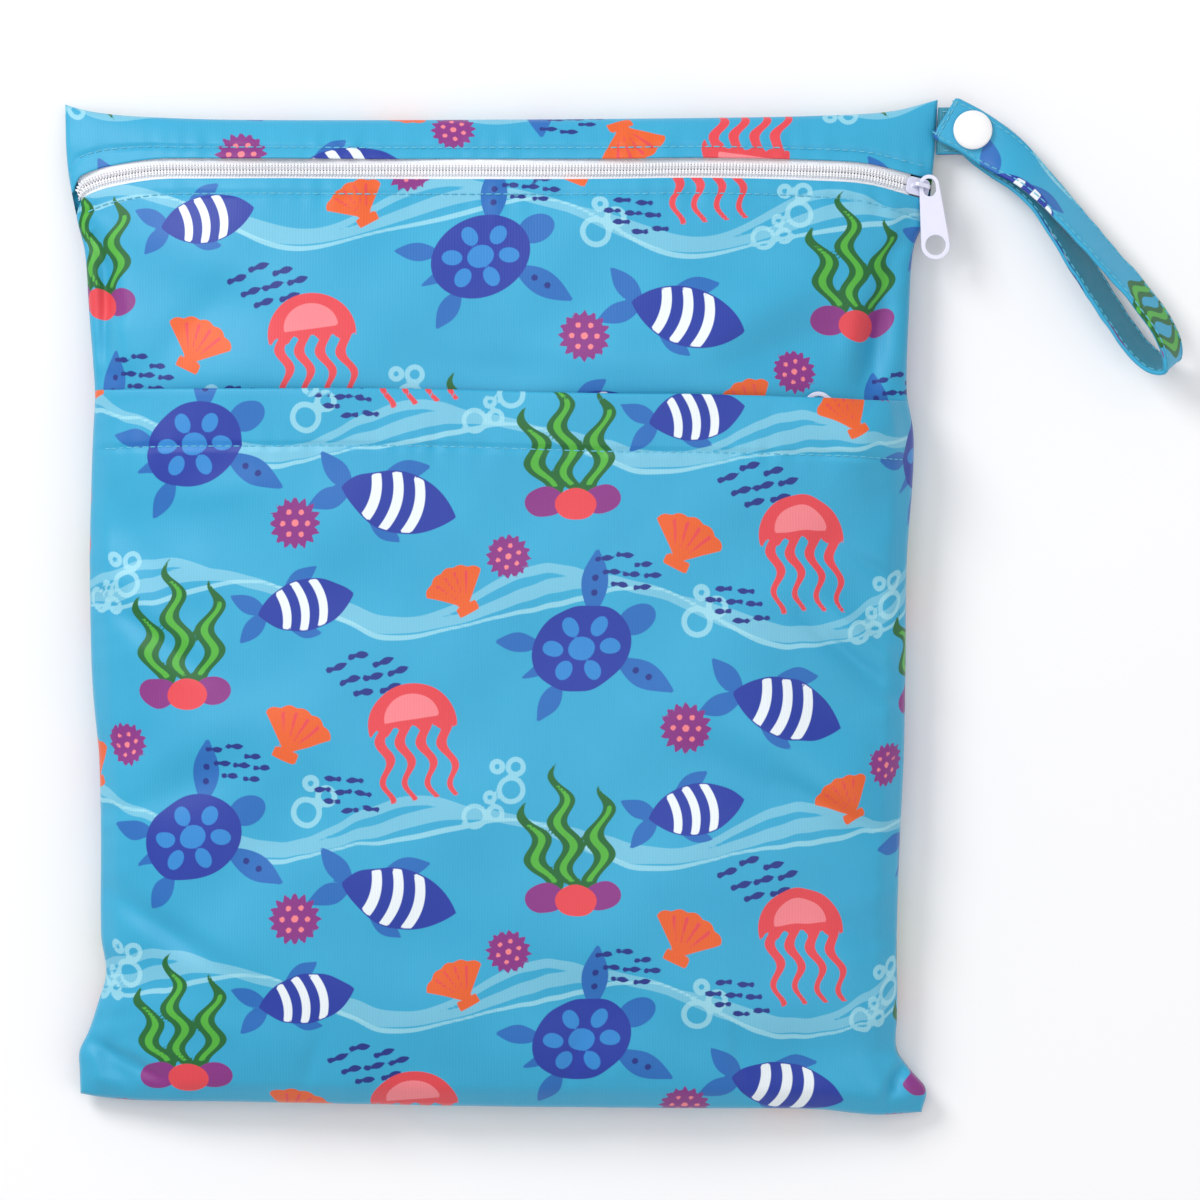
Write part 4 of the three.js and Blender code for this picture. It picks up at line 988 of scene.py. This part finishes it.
def strap_line(count):
    """Middle line of the strap, its lean and face, and its width, at even steps through its table."""
    root, snap, tab = strap_anchor()
    turn = math.radians(STRAP_HEADING)
    along = np.array([math.cos(turn), math.sin(turn), 0.0])
    aside = np.array([-math.sin(turn), math.cos(turn), 0.0])
    points = snap + STRAP_REACH * (np.outer(STRAP["along"], along) + np.outer(STRAP["side"], aside))
    points[:, 2] = root[2] + (tab - root[2]) * STRAP["upper"] + STRAP["lift"] * STRAP_WIDTH
    points = np.vstack([points, root])
    rows = {"key": "at", "at": np.arange(len(points)), "tilt": np.append(STRAP["tilt"], 0.0),
            "width": np.append(STRAP["width"], 1.0)}
    ends = np.vstack([2 * points[0] - points[1], points, 2 * points[-1] - points[-2]])
    at = np.linspace(0, len(points) - 1, count)
    index = np.minimum(at.astype(int), len(points) - 2)
    t = (at - index)[:, None]
    p = [ends[index + k] for k in range(4)]
    d = [np.linalg.norm(p[k + 1] - p[k], axis=1, keepdims=True) ** 0.5 for k in range(3)]
    leave = ((p[1] - p[0]) / d[0] - (p[2] - p[0]) / (d[0] + d[1]) + (p[2] - p[1]) / d[1]) * d[1]
    arrive = ((p[2] - p[1]) / d[1] - (p[3] - p[1]) / (d[1] + d[2]) + (p[3] - p[2]) / d[2]) * d[1]
    square = 3 * (p[2] - p[1]) - 2 * leave - arrive
    cube = 2 * (p[1] - p[2]) + leave + arrive
    centre = p[1] + leave * t + square * t**2 + cube * t**3
    tangent = unit(leave + 2 * square * t + 3 * cube * t**2)
    tilt = np.radians(read(rows, "tilt", at))[:, None]
    lean = aside * np.cos(tilt) - np.array([0, 0, 1.0]) * np.sin(tilt)
    lean = unit(lean - (lean * tangent).sum(axis=1, keepdims=True) * tangent)
    return centre, lean, np.cross(tangent, lean), read(rows, "width", at)


def strap_surface(settings):
    """The strap as rings of a flat rounded band whose edges are stitched, with the length along it in mm,
    and each column's place across it from -1 to 1 and its face, 1 or -1."""
    centre, lean, face, width = strap_line(STRAP_RINGS)
    snap = strap_anchor()[1]
    half, thick = STRAP_WIDTH / 2, STRAP_THICKNESS / 2
    places = np.concatenate([np.linspace(-1, 1, STRAP_COLUMNS), np.linspace(1, -1, STRAP_COLUMNS)[1:-1]])
    sign = np.concatenate([np.ones(STRAP_COLUMNS), -np.ones(STRAP_COLUMNS - 2)])
    from_edge = (1 - np.abs(places)) * half
    edge = np.clip(from_edge / 0.9, 0, 1)
    profile = sign * thick * np.sqrt(1 - (1 - edge) ** 2) * 0.97
    groove = 0.28 * np.exp(-(((from_edge - 1.9) / 0.55) ** 2))
    length = np.concatenate([[0], np.cumsum(np.linalg.norm(np.diff(centre, axis=0), axis=1))])
    ring = centre[:, None] + lean[:, None] * (places * half)[None, :, None] * width[:, None, None]
    flat = ease((np.linalg.norm(centre[:, :2] - snap[:2], axis=1) - 7.5) / 6)[:, None]
    waves = EDGE_WAVE * ripple(length[:, None] + 2.5 * places, 12, 1.1) * flat * places**2
    ring += face[:, None] * (profile * (1 - groove / thick) + waves * settings.relief)[..., None]
    return ring, length, places, sign


def capped_faces(rows, columns):
    """Faces of a flat tube of rings, whose two ends are closed by strips across the band."""
    faces = grid_faces(rows, columns, ring=True).tolist()
    half = columns // 2
    for start, order in ((0, 1), ((rows - 1) * columns, -1)):
        for index in range(half):
            near, far = start + index, start + index + 1
            across, before = start + (columns - index) % columns, start + (columns - index - 1) % columns
            corners = list(dict.fromkeys([near, far, before, across][::order]))
            if len(corners) > 2:
                faces.append(corners)
    return faces


def curve_object(name, points):
    """A curve through points in mm, for the pieces that repeat along it."""
    curve = bpy.data.curves.new(name, "CURVE")
    curve.dimensions = "3D"
    spline = curve.splines.new("POLY")
    spline.points.add(len(points) - 1)
    weighted = np.column_stack([np.asarray(points) * MM, np.ones(len(points))])
    spline.points.foreach_set("co", weighted.ravel())
    piece = bpy.data.objects.new(name, curve)
    bpy.context.collection.objects.link(piece)
    return piece


def repeat_group():
    """Geometry nodes that repeat a piece along a curve, facing along it."""
    found = bpy.data.node_groups.get("Repeat along")
    if found:
        return found
    group = bpy.data.node_groups.new("Repeat along", "GeometryNodeTree")
    for name, kind, way in (
        ("Geometry", "Geometry", "INPUT"), ("Spacing", "Float", "INPUT"), ("Piece", "Object", "INPUT"),
        ("Material", "Material", "INPUT"), ("Geometry", "Geometry", "OUTPUT"),
    ):
        group.interface.new_socket(name, in_out=way, socket_type="NodeSocket" + kind)
    source = add_node(group, "NodeGroupInput").outputs
    points = add_node(group, "GeometryNodeResampleCurve", {"mode": "LENGTH"},
                      {"Curve": source[0], "Length": source[1]})
    tangent = add_node(group, "GeometryNodeInputTangent").outputs[0]
    facing = add_node(group, "FunctionNodeAlignRotationToVector", {"axis": "X"},
                      {"Vector": tangent}).outputs[0]
    upright = add_node(group, "FunctionNodeAlignRotationToVector", {"axis": "Z", "pivot_axis": "X"},
                       {"Rotation": facing, "Vector": (0.0, 0.0, 1.0)}).outputs[0]
    shape = add_node(group, "GeometryNodeObjectInfo", {}, {"Object": source[2]}).outputs["Geometry"]
    placed = add_node(group, "GeometryNodeInstanceOnPoints", {},
                      {"Points": points.outputs[0], "Instance": shape, "Rotation": upright}).outputs[0]
    solid = add_node(group, "GeometryNodeRealizeInstances", {}, {0: placed}).outputs[0]
    painted = add_node(group, "GeometryNodeSetMaterial", {},
                       {"Geometry": solid, "Material": source[3]}).outputs[0]
    add_node(group, "NodeGroupOutput", {}, {0: painted})
    return group


def capsule(name, length, radius, axis=0):
    """A small rounded bar along X or Y, in mm: the piece that repeats."""
    rings, around = 6, 7
    t = np.linspace(0, math.pi, rings)
    lengthwise = -np.cos(t) * length / 2
    radial = np.sin(t) ** 0.7 * radius
    a = np.arange(around) * 2 * math.pi / around
    parts = [lengthwise[:, None] + 0 * a, radial[:, None] * np.cos(a), radial[:, None] * np.sin(a)]
    order = [0, 1, 2] if axis == 0 else [1, 0, 2]
    points = np.stack([parts[i] for i in order], axis=-1)
    return new_mesh_object(name, points, grid_faces(rings, around, ring=True))


def repeated(name, lines, spacing, piece, material):
    """One plain mesh of a piece repeated along several lines of points in mm."""
    group = repeat_group()
    ids = {item.name: item.identifier for item in group.interface.items_tree if item.in_out == "INPUT"}
    meshes = []
    for index, line in enumerate(lines):
        guide = curve_object(f"{name}_guide_{index}", line)
        modifier = guide.modifiers.new("Repeat", "NODES")
        modifier.node_group = group
        modifier[ids["Spacing"]] = spacing * MM
        modifier[ids["Piece"]] = piece
        modifier[ids["Material"]] = material
        bpy.context.view_layer.update()
        graph = bpy.context.evaluated_depsgraph_get()
        meshes.append(bpy.data.meshes.new_from_object(guide.evaluated_get(graph), depsgraph=graph))
        bpy.data.objects.remove(guide)
    made = bpy.data.objects.new(name, joined_mesh(name, meshes, material))
    bpy.context.collection.objects.link(made)
    return made


def joined_mesh(name, meshes, material):
    """Several meshes as one, with one material."""
    points, faces, start = [], [], 0
    for mesh in meshes:
        flat = np.empty(len(mesh.vertices) * 3)
        mesh.vertices.foreach_get("co", flat)
        points.append(flat.reshape(-1, 3))
        faces += [[start + v for v in polygon.vertices] for polygon in mesh.polygons]
        start += len(mesh.vertices)
        bpy.data.meshes.remove(mesh)
    mesh = bpy.data.meshes.new(name)
    mesh.from_pydata(np.concatenate(points).tolist(), [], faces)
    mesh.shade_smooth()
    mesh.materials.append(material)
    return mesh


def outward(grid):
    """Upward normals of a grid of points."""
    normal = unit(np.cross(np.gradient(grid, axis=1), np.gradient(grid, axis=0)))
    return normal * np.where(normal[..., 2:] < 0, -1, 1)


def zip_strip(start, stop, offsets, depths):
    """Points of a strip along the zip: offsets across it and depths off the front's face, in mm."""
    across = np.linspace(start, stop, ZIP_POINTS)
    up = zip_up(across)[:, None] + np.asarray(offsets) / BAG_HEIGHT
    wide = across[:, None] + 0 * up
    face = front_point(wide, up, SEAM_ROUND, 0)
    return face + outward(face) * np.asarray(depths)[None, :, None]


def rounded_copy(name, node, material, body):
    """A cast piece in the place of a CAD node, with its edges rounded."""
    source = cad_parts[node]
    copy = bpy.data.objects.new(name, source.data.copy())
    bpy.context.collection.objects.link(copy)
    copy.modifiers.new("Weld", "WELD").merge_threshold = 0.01 * MM
    remesh = copy.modifiers.new("Remesh", "REMESH")
    remesh.mode = "VOXEL"
    remesh.voxel_size = CAST_VOXEL * MM
    smooth = copy.modifiers.new("Smooth", "SMOOTH")
    smooth.factor = 0.5
    smooth.iterations = CAST_PASSES
    copy.modifiers.new("Decimate", "DECIMATE").ratio = CAST_KEPT
    bpy.context.view_layer.update()
    graph = bpy.context.evaluated_depsgraph_get()
    mesh = bpy.data.meshes.new_from_object(copy.evaluated_get(graph), depsgraph=graph)
    bpy.data.objects.remove(copy)
    mesh.name = name
    mesh.materials.clear()
    mesh.materials.append(material)
    mesh.shade_smooth()
    piece = bpy.data.objects.new(name, mesh)
    bpy.context.collection.objects.link(piece)
    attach(piece, body)
    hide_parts(node)
    return piece


def lathed(name, profile, centre):
    """A round piece from a profile of radius and height in mm."""
    angles = np.arange(CAP_SIDES) * 2 * math.pi / CAP_SIDES
    rings = [[(r * math.cos(a) + centre[0], r * math.sin(a) + centre[1], z + centre[2]) for a in angles]
             for r, z in profile]
    return new_mesh_object(name, rings, grid_faces(len(profile), CAP_SIDES, ring=True))


def paint_node(node, material):
    """Gives a CAD node that stays its finish."""
    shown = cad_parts[node]
    if not shown.material_slots:
        shown.data.materials.append(material)
    for slot in shown.material_slots:
        slot.material = material


class WetBagSettings(bpy.types.PropertyGroup):
    """Sizes and colours of the bag's cloth, threads and trim."""

    grid_pitch: bpy.props.FloatProperty(
        name="Cloth grid", description="Distance between the points of the cloth",
        default=1.0 * MM, min=0.6 * MM, max=4 * MM, unit="LENGTH")
    relief: bpy.props.FloatProperty(
        name="Relief", description="Height of folds and puckers against the heights in the tables",
        default=2.0, min=0, max=3, subtype="FACTOR")
    wale: bpy.props.FloatProperty(
        name="Wale", description="Distance between the knit's columns of loops",
        default=1.05 * MM, min=0.3 * MM, max=3 * MM, unit="LENGTH")
    stitch_length: bpy.props.FloatProperty(
        name="Stitch length", description="Length of one stitch",
        default=2.5 * MM, min=1 * MM, max=6 * MM, unit="LENGTH")
    stitch_spacing: bpy.props.FloatProperty(
        name="Stitch spacing", description="Distance from one stitch to the next",
        default=3.1 * MM, min=1.2 * MM, max=8 * MM, unit="LENGTH")
    thread_radius: bpy.props.FloatProperty(
        name="Thread", description="Radius of the sewing thread",
        default=0.27 * MM, min=0.05 * MM, max=0.6 * MM, unit="LENGTH")
    coil_pitch: bpy.props.FloatProperty(
        name="Coil pitch", description="Distance between the zip coil's turns",
        default=1.15 * MM, min=0.5 * MM, max=3 * MM, unit="LENGTH")
    ground_high: bpy.props.StringProperty(
        name="Ground, light", description="Lighter ground colour", default="#31A9D0")
    ground_low: bpy.props.StringProperty(
        name="Ground, deep", description="Deeper ground colour", default="#279BC6")
    foam: bpy.props.StringProperty(name="Foam", description="Ripples and bubbles", default="#A6DCE8")
    green: bpy.props.StringProperty(name="Green", description="Sea grass", default="#0E6228")
    leaf: bpy.props.StringProperty(
        name="Light green", description="Veins of the sea grass", default="#4CAB35")
    mid: bpy.props.StringProperty(name="Mid blue", description="Fins and flippers", default="#1866B4")
    royal: bpy.props.StringProperty(name="Royal blue", description="Bodies", default="#16339C")
    navy: bpy.props.StringProperty(name="Navy", description="Spots and small darts", default="#0E2780")
    sky: bpy.props.StringProperty(name="Sky blue", description="Shell plates", default="#2783CC")
    purple: bpy.props.StringProperty(name="Purple", description="Urchins and stones", default="#84287F")
    coral: bpy.props.StringProperty(name="Coral", description="Jellyfish and stones", default="#DE404A")
    rose: bpy.props.StringProperty(
        name="Rose", description="Lighter parts of the coral motifs", default="#EE7F88")
    orange: bpy.props.StringProperty(name="Orange", description="Shells", default="#E25C20")
    white: bpy.props.StringProperty(name="White", description="Stripes", default="#E6EEF4")
    # Unprinted inner face of the strap, darker than the ground: painted shade inside the strap's loop
    inside: bpy.props.StringProperty(name="Inside", description="Inner face of the strap", default="#2B8FA8")
    zip_white: bpy.props.StringProperty(name="Zip", description="Tape and coil", default="#F6F6FA")
    lacquer: bpy.props.StringProperty(name="Pull", description="Slider and pull", default="#DCDCF0")
    resin: bpy.props.StringProperty(name="Snap", description="Press snap", default="#F0F0F2")
    thread: bpy.props.StringProperty(name="Thread colour", description="Sewing thread", default="#5FBEDA")
    floor: bpy.props.StringProperty(name="Floor", description="Floor under the bag", default="#F4F4F5")


class WETBAG_OT_front(bpy.types.Operator):
    """Makes the front panel between the pocket and the zip"""

    bl_idname = "wetbag.front"
    bl_label = "Front panel"

    def execute(self, context):
        settings = context.scene.wet_bag
        piece = cloth_piece("front_cloth", front_grid(settings), 0, (36, 10),
                            finish("sea_print_knit", settings), "front_panel")
        return {"FINISHED"}


class WETBAG_OT_pocket(bpy.types.Operator):
    """Makes the pocket panel with its turned hem"""

    bl_idname = "wetbag.pocket"
    bl_label = "Pocket panel"

    def execute(self, context):
        settings = context.scene.wet_bag
        piece = cloth_piece("pocket_cloth", pocket_grid(settings), 0, (0, 0),
                            finish("sea_print_knit", settings), "pocket_panel")
        return {"FINISHED"}


class WETBAG_OT_back(bpy.types.Operator):
    """Makes the back panel, which wraps over the top edge"""

    bl_idname = "wetbag.back"
    bl_label = "Back panel"

    def execute(self, context):
        settings = context.scene.wet_bag
        grid, top_row = back_grid(settings)
        piece = cloth_piece("back_cloth", grid, top_row, (20, 60),
                            finish("sea_print_knit", settings), "back_panel")
        return {"FINISHED"}


class WETBAG_OT_strap(bpy.types.Operator):
    """Makes the wrist strap"""

    bl_idname = "wetbag.strap"
    bl_label = "Wrist strap"

    def execute(self, context):
        settings = context.scene.wet_bag
        ring, length, places, sign = strap_surface(settings)
        shape = ring.shape[:2]
        piece = new_mesh_object("strap_cloth", ring, capped_faces(*shape))
        aside = places * STRAP_WIDTH / 2 * sign + np.where(sign < 0, 40, 0)
        write_print(piece, np.broadcast_to(length[:, None], shape), np.broadcast_to(aside, shape), (58, 30))
        piece.data.materials.append(finish("sea_print_knit", settings))
        # Inner faces past the root take the plain knit, whose darker teal is painted shade inside the loop
        piece.data.materials.append(finish("plain_knit_painted_shade", settings))
        columns = len(places)
        for polygon in piece.data.polygons:
            inner = min(vertex % columns for vertex in polygon.vertices) >= STRAP_COLUMNS - 1
            polygon.material_index = int(inner and polygon.vertices[0] // columns > ROOT_RINGS)
        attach(piece, "bag")
        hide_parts("wrist_strap")
        return {"FINISHED"}


class WETBAG_OT_zip(bpy.types.Operator):
    """Makes the main zip's tapes and coil"""

    bl_idname = "wetbag.zip"
    bl_label = "Main zip"

    def execute(self, context):
        settings = context.scene.wet_bag
        pitch = settings.coil_pitch / MM
        start, mouth = ZIP_START / BAG_WIDTH, 1 - (SLIDER_FROM_SIDE + CLEARANCE) / BAG_WIDTH
        tape_end, coil_end = mouth + TAPE_PAST_MOUTH / BAG_WIDTH, mouth - COIL_SHORT / BAG_WIDTH
        under = -(CLOTH_WALL + TAPE_DROP)
        for name, side in (("zip_tape_upper", 1), ("zip_tape_lower", -1)):
            inner, outer = TAPE_GAP / 2 - TAPE_UNDER_COIL, TAPE_GAP / 2 + TAPE_WIDTH
            reach = side * np.linspace(inner, outer, TAPE_COLUMNS)
            sunk = under - TAPE_SINK * ease((np.abs(reach) - TAPE_SINK_FROM) / TAPE_SINK_OVER)
            top = zip_strip(start, tape_end, reach, sunk)
            low = zip_strip(start, tape_end, reach[::-1], sunk[::-1] - TAPE_THICKNESS)
            rings = np.concatenate([top, low], axis=1)
            piece = new_mesh_object(name.replace("zip_", "woven_"), rings, capped_faces(*rings.shape[:2]))
            piece.data.materials.append(finish("woven_tape", settings))
            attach(piece, "bag")
            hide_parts(name)
        turn = capsule("coil_turn", TURN_LENGTH, TURN_RADIUS, axis=1)
        lines = []
        for side, shift in ((1, 0.0), (-1, 0.5)):
            shifted = start + shift * pitch / BAG_WIDTH
            places = [side * place for place in COIL_LINE]
            lines.append(zip_strip(shifted, coil_end, places, [under + COIL_RISE] * 2)[:, 0])
        coil = repeated("coil_turns", lines, pitch, turn, finish("nylon_coil", settings))
        bpy.data.objects.remove(turn)
        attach(coil, "bag")
        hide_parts("zip_coil")
        chain = capsule("chain_link", CHAIN_LENGTH, CHAIN_RADIUS)
        lines = [zip_strip(start, coil_end, [side, side + 0.1], [under + CHAIN_RISE] * 2)[:, 0]
                 for side in CHAIN_LINES]
        links = repeated("coil_thread", lines, pitch, chain, finish("nylon_coil", settings))
        bpy.data.objects.remove(chain)
        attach(links, "bag")
        paint_node("pocket_zip", finish("woven_tape", settings))
        return {"FINISHED"}


class WETBAG_OT_pulls(bpy.types.Operator):
    """Makes the sliders and pulls with their rounded cast edges"""

    bl_idname = "wetbag.pulls"
    bl_label = "Sliders and pulls"

    def execute(self, context):
        lacquer = finish("lacquered_zinc", context.scene.wet_bag)
        for name, node, body in (("cast_slider", "zip_slider", "bag"), ("cast_pull", "zip_pull", "pull"),
                                 ("cast_pocket_pull", "pocket_zip_pull", "bag"),
                                 ("cast_pocket_slider", "pocket_zip_slider", "bag")):
            piece = rounded_copy(name, node, lacquer, body)
        return {"FINISHED"}


class WETBAG_OT_snap(bpy.types.Operator):
    """Makes the press snap's caps and finishes its other pieces"""

    bl_idname = "wetbag.snap"
    bl_label = "Press snap"

    def execute(self, context):
        root, snap, tab = strap_anchor()
        resin = finish("moulded_resin", context.scene.wet_bag)
        cap, post = CAP_DIAMETER / 2, POST_DIAMETER / 2
        reach = CLEARANCE + STRAP_THICKNESS + CLEARANCE
        dome = [(cap * math.sin(a), 0.45 * CAP_HEIGHT + 0.55 * CAP_HEIGHT * math.cos(a) ** 0.8)
                for a in np.linspace(math.pi / 2 - 0.05, 0.0, 14)]
        # Radius and height of the post, the rim's rounded underside and the dome
        profile = [(0.001, -reach), (post, -reach), (post, 0), (post + 0.02, 0), (cap - 0.6, 0.0),
                   (cap - 0.15, 0.18), (cap, 0.5), (cap, 0.42 * CAP_HEIGHT), *dome[:-1], (0.001, CAP_HEIGHT)]
        off_strap = STRAP_THICKNESS / 2 + CLEARANCE
        for name, node, height, way in (("cap_front", "snap_cap", tab + off_strap, 1),
                                        ("cap_back", "snap_back", root[2] - off_strap, -1)):
            rows = [(r, way * z) for r, z in profile[::way]]
            piece = lathed(name, rows, (snap[0], snap[1], height))
            piece.data.materials.append(resin)
            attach(piece, "bag")
            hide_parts(node)
        for node in ("snap_socket", "snap_stud"):
            paint_node(node, resin)
        return {"FINISHED"}


class WETBAG_OT_stitches(bpy.types.Operator):
    """Makes the rows of stitches along the zip, the hem and the strap"""

    bl_idname = "wetbag.stitches"
    bl_label = "Stitches"

    def execute(self, context):
        settings = context.scene.wet_bag
        lines = []
        across = np.linspace(6 / BAG_WIDTH, 1 - 5 / BAG_WIDTH, STITCH_POINTS)
        for kind, up in (
            ("front", zip_up(across) - zip_stitch_below(across) / BAG_HEIGHT),
            ("band", zip_up(across) + zip_stitch_above(across) / BAG_HEIGHT),
            ("pocket", pocket_up(across) - HEM_DEPTH / BAG_HEIGHT),
        ):
            line = panel_point(kind, across, up, SEAM_ROUND, settings.relief)
            line[:, 2] += THREAD_ON_PANEL
            lines.append(line)
        ring, _, places, sign = strap_surface(settings)
        middle, last = STRAP_COLUMNS // 2, STRAP_COLUMNS - 1
        face = unit(np.cross(np.gradient(ring[:, middle], axis=0), ring[:, last] - ring[:, 0]))
        face *= np.sign((face * (ring[:, middle] - ring[:, last + middle])).sum(axis=1, keepdims=True))
        for way in (1, -1):
            for side in (-STRAP_STITCH, STRAP_STITCH):
                column = int(np.argmin(np.abs(places - side) + (sign != way) * FAR))
                lines.append((ring[:, column] + way * THREAD_ON_STRAP * face)[STITCHED_RINGS])
        lines += [ring[row, TAB_COLUMNS] + face[row] * THREAD_ON_TAB for row in TAB_ROWS]
        stitch = capsule("stitch", settings.stitch_length / MM, settings.thread_radius / MM)
        spacing, thread = settings.stitch_spacing / MM, finish("sewing_thread", settings)
        seams = repeated("stitches", lines, spacing, stitch, thread)
        bpy.data.objects.remove(stitch)
        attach(seams, "bag")
        return {"FINISHED"}


class WETBAG_OT_stage(bpy.types.Operator):
    """Makes the floor, the lights and the camera"""

    bl_idname = "wetbag.stage"
    bl_label = "Stage"

    def execute(self, context):
        settings = context.scene.wet_bag
        corners = [(x * FLOOR_REACH, y * FLOOR_REACH, -FLOOR_DROP)
                   for x, y in ((-1, -1), (1, -1), (1, 1), (-1, 1))]
        floor = new_mesh_object("floor", corners, [(0, 1, 2, 3)])
        material, tree = new_material("floor")
        place = add_node(tree, "ShaderNodeTexCoord").outputs["Object"]
        tone = mixed(tree, noise(tree, place, 3.0), linear(settings.floor), linear("#EEEEF0"))
        finish_material(tree, {"Base Color": tone, "Roughness": 0.8})
        floor.data.materials.append(material)
        for name, place, target, size, power in LIGHTS:
            light = bpy.data.lights.new(name, "AREA")
            light.shape = "DISK"
            light.size = size
            light.energy = power
            lamp = bpy.data.objects.new(name, light)
            lamp.location = place
            lamp.rotation_euler = (Vector(target) - Vector(place)).to_track_quat("-Z", "Y").to_euler()
            context.collection.objects.link(lamp)
        context.scene.view_settings.view_transform = "Standard"
        world = context.scene.world or bpy.data.worlds.new("world")
        context.scene.world = world
        world.use_nodes = True
        world.node_tree.nodes.clear()
        sky = add_node(world.node_tree, "ShaderNodeBackground", {},
                       {"Color": linear("#FFFFFF"), "Strength": SKY_STRENGTH})
        add_node(world.node_tree, "ShaderNodeOutputWorld", {}, {"Surface": sky.outputs[0]})
        camera = bpy.data.cameras.new("camera")
        camera.lens = LENS
        camera.sensor_width = SENSOR
        camera.clip_start, camera.clip_end = 0.1, 20
        holder = bpy.data.objects.new("camera", camera)
        holder.location = CAMERA_PLACE
        context.collection.objects.link(holder)
        context.scene.camera = holder
        return {"FINISHED"}


OPERATORS = (WETBAG_OT_back, WETBAG_OT_front, WETBAG_OT_pocket, WETBAG_OT_strap, WETBAG_OT_zip,
             WETBAG_OT_pulls, WETBAG_OT_snap, WETBAG_OT_stitches, WETBAG_OT_stage)


class WETBAG_PT_panel(bpy.types.Panel):
    """Sizes, colours and steps of the wet bag"""

    bl_idname = "WETBAG_PT_panel"
    bl_label = "Wet bag"
    bl_space_type = "VIEW_3D"
    bl_region_type = "UI"
    bl_category = "Wet Bag"

    def draw(self, context):
        layout = self.layout
        for name in WetBagSettings.__annotations__:
            layout.prop(context.scene.wet_bag, name)
        for operator in OPERATORS:
            layout.operator(operator.bl_idname)


def register():
    for item in (WetBagSettings, *OPERATORS, WETBAG_PT_panel):
        bpy.utils.register_class(item)
    bpy.types.Scene.wet_bag = bpy.props.PointerProperty(type=WetBagSettings)


def unregister():
    del bpy.types.Scene.wet_bag
    for item in reversed((WetBagSettings, *OPERATORS, WETBAG_PT_panel)):
        bpy.utils.unregister_class(item)


def main():
    """Builds the whole scene."""
    register()
    for operator in OPERATORS:
        getattr(bpy.ops.wetbag, operator.bl_idname.split(".")[1])()


if __name__ == "__main__":
    main()
